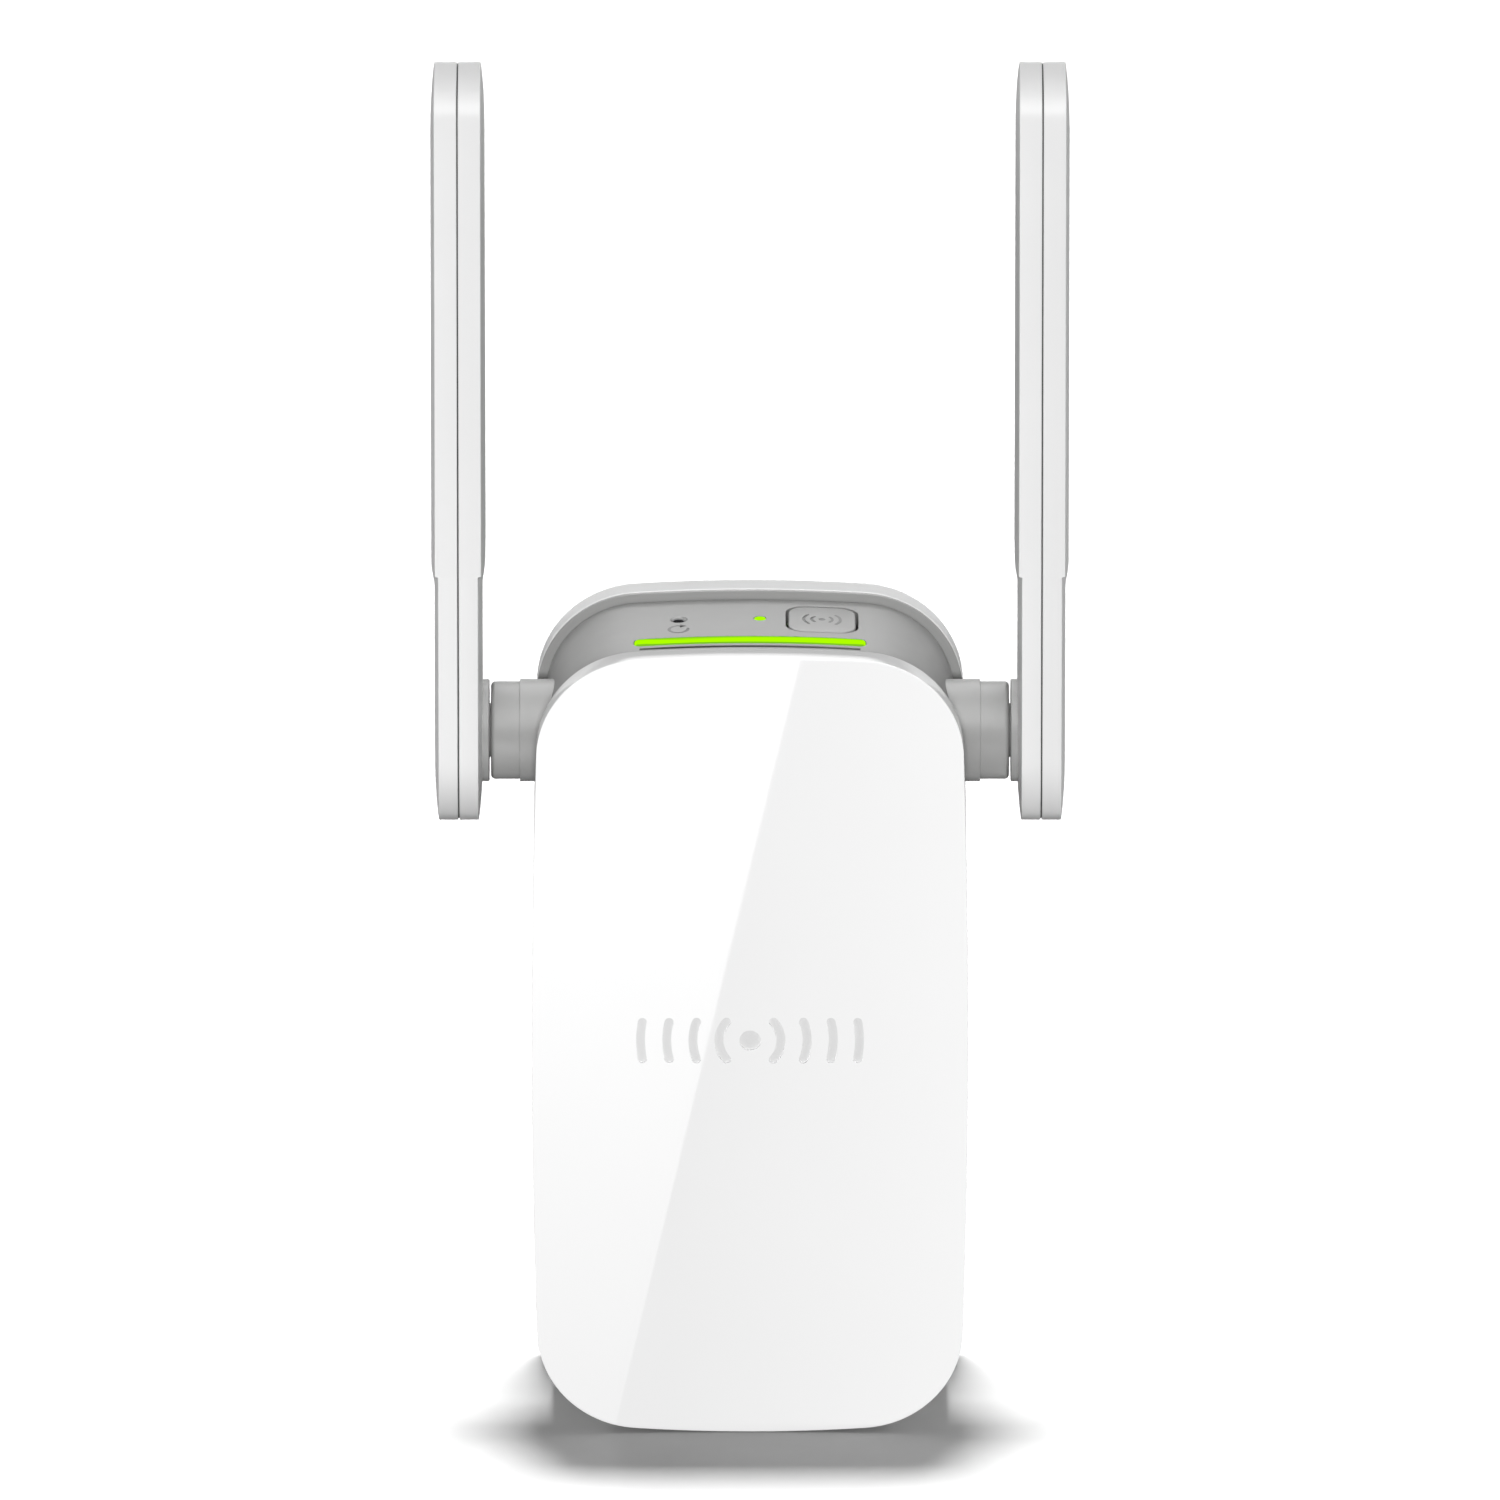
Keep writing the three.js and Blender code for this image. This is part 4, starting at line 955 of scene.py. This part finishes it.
def build_status_lens():
    collar = LENS_RADIUS + 0.7 * MM
    shoulder = 48.9 * MM
    dome = 0.2 * MM
    dome_foot = frame_top(STATUS_CENTRE[0]) - 0.1 * MM
    angles = [math.pi / 2 * i / 8 for i in range(8)]
    profile = [(collar, 48 * MM), (collar, shoulder), (LENS_RADIUS, shoulder)]
    profile += [(LENS_RADIUS * math.cos(angle), dome_foot + dome * math.sin(angle)) for angle in angles]
    lens = lathe("status_light_lens", profile, "z", (*STATUS_CENTRE, 0), 48, ringed=False)
    material = light_guide("lit_lens", STATUS_CENTRE[1], 1.6 * LENS_RADIUS, GREEN_CORE, GREEN_EDGE, 1.0)
    show(lens, "case", "green_lens", material, "status_lens")


def build_button():
    centre = BUTTON_CENTRE

    def outline_at(inset):
        size = BUTTON_SIZE - 2 * inset
        return long_pad(centre, size, size, BUTTON_CORNER - inset, 10)

    cap = crowned_pad("pairing_button", outline_at, 48 * MM, 0.05 * MM, 0.22 * MM)
    half_stroke = 0.19 * MM
    half_angle = 0.72
    strokes = []
    for facing in (0, math.pi):
        for radius in (1.3 * MM, 2.3 * MM):
            strokes.append(arc_band(centre, radius - half_stroke, radius + half_stroke,
                                    facing - half_angle, facing + half_angle))
    strokes.append(disc_outline(centre, 0.45 * MM))
    top = frame_top(centre[0])
    cut(cap, *[prism("stroke", outline, top - 0.12 * MM, top + MM) for outline in strokes])
    for i, outline in enumerate(strokes):
        # A dark inlay at the bottom of each engraved stroke: painted shade.
        inlay = prism(f"button_icon_{i + 1}", outline, top - 0.2 * MM, top - 0.03 * MM)
        show(inlay, "pairing_button", "satin_grey", ICON_SHADE)
    lip = prism("lip", long_pad(centre, 10.5 * MM, 10.5 * MM, 3.1 * MM, 10), 47.9 * MM, 48.7 * MM)
    post_half = 1.4 * MM
    post = box("post", (centre[0] - post_half, centre[1] - post_half, BUTTON_LOW.z),
               (centre[0] + post_half, centre[1] + post_half, 48.3 * MM))
    join(cap, lip, post)
    show(cap, "pairing_button", "satin_grey", GREY_SATIN, "pairing_button_cap")


# ---------------------------------------------------------------- plug, label and screws

def build_plug_blades():
    for side in ("left", "right"):
        low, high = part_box(f"plug_blade_{side}")
        edge = 0.22 * MM
        tip_corner = 1.6 * MM
        tip_y = high.y - tip_corner
        outline = [(low.y, low.z), (tip_y, low.z)]
        outline += arc(tip_y, low.z + tip_corner, tip_corner, -math.pi / 2, 0, 8)
        outline += arc(tip_y, high.z - tip_corner, tip_corner, 0, math.pi / 2, 8)
        outline += [(tip_y, high.z), (low.y, high.z)]
        middle_y, middle_z = (low.y + high.y) / 2, (low.z + high.z) / 2

        def shrunk(inset):
            share_y = 1 - inset / (high.y - middle_y)
            share_z = 1 - inset / (high.z - middle_z)
            return [
                (middle_y + (y - middle_y) * share_y, middle_z + (z - middle_z) * share_z)
                for y, z in outline
            ]

        levels = [(low.x, edge), (low.x + edge, 0), (high.x - edge, 0), (high.x, edge)]
        blade = skin(f"blade_{side}", [[(x, y, z) for y, z in shrunk(inset)] for x, inset in levels])
        cut(blade, round_tool(1.59 * MM, low.x - MM, high.x + MM, (0, high.y - 4.2 * MM, middle_z), 48))
        show(blade, "case", "plating", PLATING, f"plug_blade_{side}")


def build_label():
    low, high = LABEL_LOW, LABEL_HIGH
    middle = ((low.x + high.x) / 2, (low.z + high.z) / 2)
    width, height = high.x - low.x, high.z - low.z
    label = prism("blank_label", rounded_box(middle, width, height, MM), low.y, high.y, "y")
    outer = rounded_box(middle, width - 1.6 * MM, height - 1.6 * MM, 0.6 * MM)
    inner = rounded_box(middle, width - 2 * MM, height - 2 * MM, 0.4 * MM)
    floor_y = high.y - 0.04 * MM
    rings = [(outer, floor_y), (outer, high.y + MM), (inner, high.y + MM), (inner, floor_y)]
    cut(label, skin("line", [[(x, y, z) for x, z in loop] for loop, y in rings], ringed=True))
    show(label, "case", "label", LABEL_FOIL, "rear_label")


def build_screws():
    for up, row in ((1, "top"), (-1, "bottom")):
        for side, column in ((-1, "left"), (1, "right")):
            name = f"case_screw_{row}_{column}"
            low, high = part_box(name)
            centre = ((low.x + high.x) / 2, 0, (low.z + high.z) / 2)
            crest = 0.93 * MM
            root = crest * 0.72
            profile = [(CORE, low.y), (0.3 * MM, low.y + 0.1 * MM)]
            along = low.y + 1.3 * MM
            pitch = 0.8 * MM
            while along < -3 * MM:
                profile += [(crest, along), (root, along + pitch * 0.35), (root, along + pitch * 0.6)]
                along += pitch
            profile += [
                (crest, -2.4 * MM),
                (1.9 * MM, -2.1 * MM),
                (1.9 * MM, -1.5 * MM),
                (1.75 * MM, -1.15 * MM),
                (1.2 * MM, -0.86 * MM),
                (0.6 * MM, high.y),
                (CORE, high.y),
            ]
            screw = lathe(f"{name}_turned", profile, "y", centre, 32, ringed=False)
            for long, wide in ((1.15 * MM, 0.26 * MM), (0.26 * MM, 1.15 * MM)):
                drive = box("drive", (centre[0] - long, -1.9 * MM, centre[2] - wide),
                            (centre[0] + long, 0, centre[2] + wide))
                cut(screw, drive)
            show(screw, "case", "screw_steel", ZINC, name)


# ---------------------------------------------------------------- hinges and antennas

def build_hinge_barrels():
    bore = 3.6 * MM
    radius = BARREL_HIGH.z - HINGE.z - BARREL_RELIEF
    edge = 0.55 * MM
    joint = COLLAR_END + 0.02 * MM
    profile = [(bore, BARREL_LOW.x), (4.5 * MM, BARREL_LOW.x), (4.5 * MM, joint), (radius, joint)]
    for inset, depth in rounded_edge(edge, 6):
        profile.append((radius - inset, BARREL_HIGH.x - depth))
    profile.append((bore, BARREL_HIGH.x))
    right = lathe("barrel_right", profile, "x", HINGE, 96)
    left = mirrored(right, "barrel_left")
    show(right, "case", "satin_grey", GREY_SATIN, "hinge_barrel_right")
    show(left, "case", "satin_grey", GREY_SATIN, "hinge_barrel_left")


# Points on the straight stretches of the outline, closest together at the step between grip and blade:
# heights on the grip, in millimetres, and shares of the way up the blade.
GRIP_LEVELS = [3, 8, 13, 17, 19.5, 20.8, 21.6, 22.3, 22.9, 23.5, 24, 24.4, 24.7, 24.86]
BLADE_SHARES = [0, 0.0007, 0.012, 0.08, 0.2, 0.35, 0.5, 0.65, 0.8, 0.92]


def antenna_outline(inset):
    """Half of the antenna's outline about the hinge line, from its lowest point to its tip, as (y, z)."""
    half = HEEL_RADIUS - inset
    corner = max(TIP_CORNER - inset, 0.4 * MM)
    crown = CROWN_RADIUS - inset
    crown_z = ANTENNA_LENGTH - CROWN_RADIUS
    corner_y = TIP_HALF_DEPTH - inset - corner
    corner_z = crown_z + math.sqrt((crown - corner) ** 2 - corner_y ** 2)
    turn = math.atan2(corner_z - crown_z, corner_y)
    across, along = half - corner_y, corner_z - GRIP_TOP
    lean = math.acos(corner / math.hypot(across, along)) - math.atan2(along, across)
    touch_y = corner_y + corner * math.cos(lean)
    touch_z = corner_z + corner * math.sin(lean)
    return (
        arc(0, 0, half, -math.pi / 2, 0, 26)
        + [(half, 0)]
        + [(half, level * MM) for level in GRIP_LEVELS]
        + [
            (half + (touch_y - half) * share, GRIP_TOP + (touch_z - GRIP_TOP) * share)
            for share in BLADE_SHARES
        ]
        + arc(corner_y, corner_z, corner, lean, turn, 9)
        + arc(0, crown_z, crown, turn, math.pi / 2, 14)
        + [(0, crown_z + crown)]
    )


def grip_inset(inset, z):
    """How far the grip lies under the blade: a crisp step at the edge that fades in over the flank."""
    fade = (0.06 + 3.4 * min(1, max(0, inset - 0.3 * MM) / (4 * MM))) * MM
    share = min(1, max(0, (GRIP_TOP - z) / fade))
    return GRIP_STEP * share * share * (3 - 2 * share)


def closed_loop(half_loop):
    """Completes a half outline of (y, z) points, front to back, with its reflection."""
    return half_loop + [(-y, z) for y, z in reversed(half_loop[1:-1])]


def seam_shade_bead(name):
    """A dark bead deep in the seam between the two halves of an antenna: painted shade that darkens the gap.
    """
    half_width = 0.08 * MM
    profile = [(MM, -half_width), (0.22 * MM, -half_width), (0.22 * MM, half_width), (MM, half_width)]
    loops = []
    for inset, across in profile:
        full = closed_loop(antenna_outline(inset))
        loops.append([(ANTENNA_X + across, HINGE.y + y, HINGE.z + z) for y, z in full])
    return skin(name, loops, ringed=True)


def antenna_half(name, side):
    """One half of an antenna: side is 1 for the outer half and -1 for the half that faces the case."""
    dome = [0.9, 1.8, 2.8, 3.8, 4.8, 5.8, 6.7, 7.5]
    dome_foot = 2.92 * MM
    dome_rise = BLADE_HALF - dome_foot
    wall = 1.3 * MM
    chamfer = 0.08 * MM
    seam = 0.09 * MM
    touch = 0.01 * MM
    tongue = 1.25 * MM
    profile = [
        (wall, BLADE_HALF - 1.75 * MM),
        (wall, touch),
        (tongue, touch),
        (tongue, seam),
        (chamfer, seam),
        (0, seam + chamfer),
    ]
    first_outside = len(profile)
    profile += [(inset, dome_foot - depth) for inset, depth in rounded_edge(0.14 * MM, 4)]
    profile += [(inset * MM, dome_foot + dome_rise * (1 - (1 - inset / dome[-1]) ** 2)) for inset in dome]
    loops = []
    for index, (inset, away) in enumerate(profile):
        full = closed_loop(antenna_outline(inset))
        outside = index >= first_outside
        loops.append([
            (ANTENNA_X + side * (away - (grip_inset(inset, z) if outside else 0)), HINGE.y + y, HINGE.z + z)
            for y, z in full
        ])
    return skin(name, loops, rungs=True)


def build_antennas():
    outer = antenna_half("antenna_outer_right", 1)
    inner = antenna_half("antenna_inner_right", -1)
    flank = ANTENNA_X - BLADE_HALF + GRIP_STEP
    disc_start = INNER_LOW.x
    disc_end = flank + 0.3 * MM
    edge = 0.12 * MM
    disc = lathe("hinge_disc_right", [
        (BORE_RADIUS, disc_start),
        (DISC_RADIUS - edge, disc_start),
        (DISC_RADIUS, disc_start + edge),
        (DISC_RADIUS, disc_end),
        (BORE_RADIUS, disc_end),
    ], "x", HINGE, 96)
    seat = round_tool(DISC_RADIUS, disc_start, disc_end + 0.01 * MM, HINGE, 96)
    bore = round_tool(BORE_RADIUS, disc_start - MM, flank + 1.6 * MM, HINGE, 96)
    cut(inner, seat, bore)
    # The dark beads in the antenna seams are painted shade.
    shade_bead = seam_shade_bead("seam_shade_bead_right")
    show(mirrored(shade_bead, "seam_shade_bead_left"), "antenna_left", "black_plastic", SHADE_FILL)
    show(shade_bead, "antenna_right", "black_plastic", SHADE_FILL)
    for piece, part in ((outer, "outer"), (inner, "inner")):
        left = mirrored(piece, f"antenna_{part}_left")
        show(piece, "antenna_right", "satin_white", WHITE_SATIN, f"antenna_{part}_shell_right", sharp=25)
        show(left, "antenna_left", "satin_white", WHITE_SATIN, f"antenna_{part}_shell_left", sharp=25)
    show(mirrored(disc, "hinge_disc_left"), "antenna_left", "satin_grey", GREY_SATIN)
    show(disc, "antenna_right", "satin_grey", GREY_SATIN)


# ---------------------------------------------------------------- carried-over CAD nodes

CARRIED = {
    "circuit_board": BOARD,
    "black_plastic": BLACK_PLASTIC,
    "cream_plastic": CREAM_PLASTIC,
    "capacitor_sleeve": CAPACITOR_SLEEVE,
    "yellow_tape": YELLOW_TAPE,
    "ferrite": FERRITE,
    "blue_epoxy": BLUE_EPOXY,
    "led_body": LED_BODY,
    "coax_jacket": COAX_JACKET,
    "tin": TIN,
    "aluminium": ALUMINIUM,
    "gold": GOLD,
    "screw_steel": ZINC,
    "satin_grey": GREY_SATIN,
    "satin_white": WHITE_SATIN,
    "gloss_white": WHITE_GLOSS,
    "label": LABEL_FOIL,
    "plating": PLATING,
    "green_lens": LED_BODY,
}


def finish_cad_nodes():
    for row in frame["record"]["subparts"]:
        node = NODES[row["node"]]
        node.data.materials.clear()
        node.data.materials.append(CARRIED[row["material_slot"]])


# ---------------------------------------------------------------- build

add_camera()
add_world()
FLOOR = add_floor()
add_lights()
add_reflection_card("left_card", -0.5, "Y", -32 * MM, -300 * MM, 1.1, 4.8)
add_reflection_card("right_card", 0.5, "X", -10 * MM, 27 * MM, 0.0, 1.6)
finish_cad_nodes()
build_front_cover()
build_rear_cover()
build_middle_frame()
build_light_bar()
build_reveal_strip()
build_status_lens()
build_button()
build_plug_blades()
build_label()
build_screws()
build_hinge_barrels()
build_antennas()
light_floor(FLOOR)
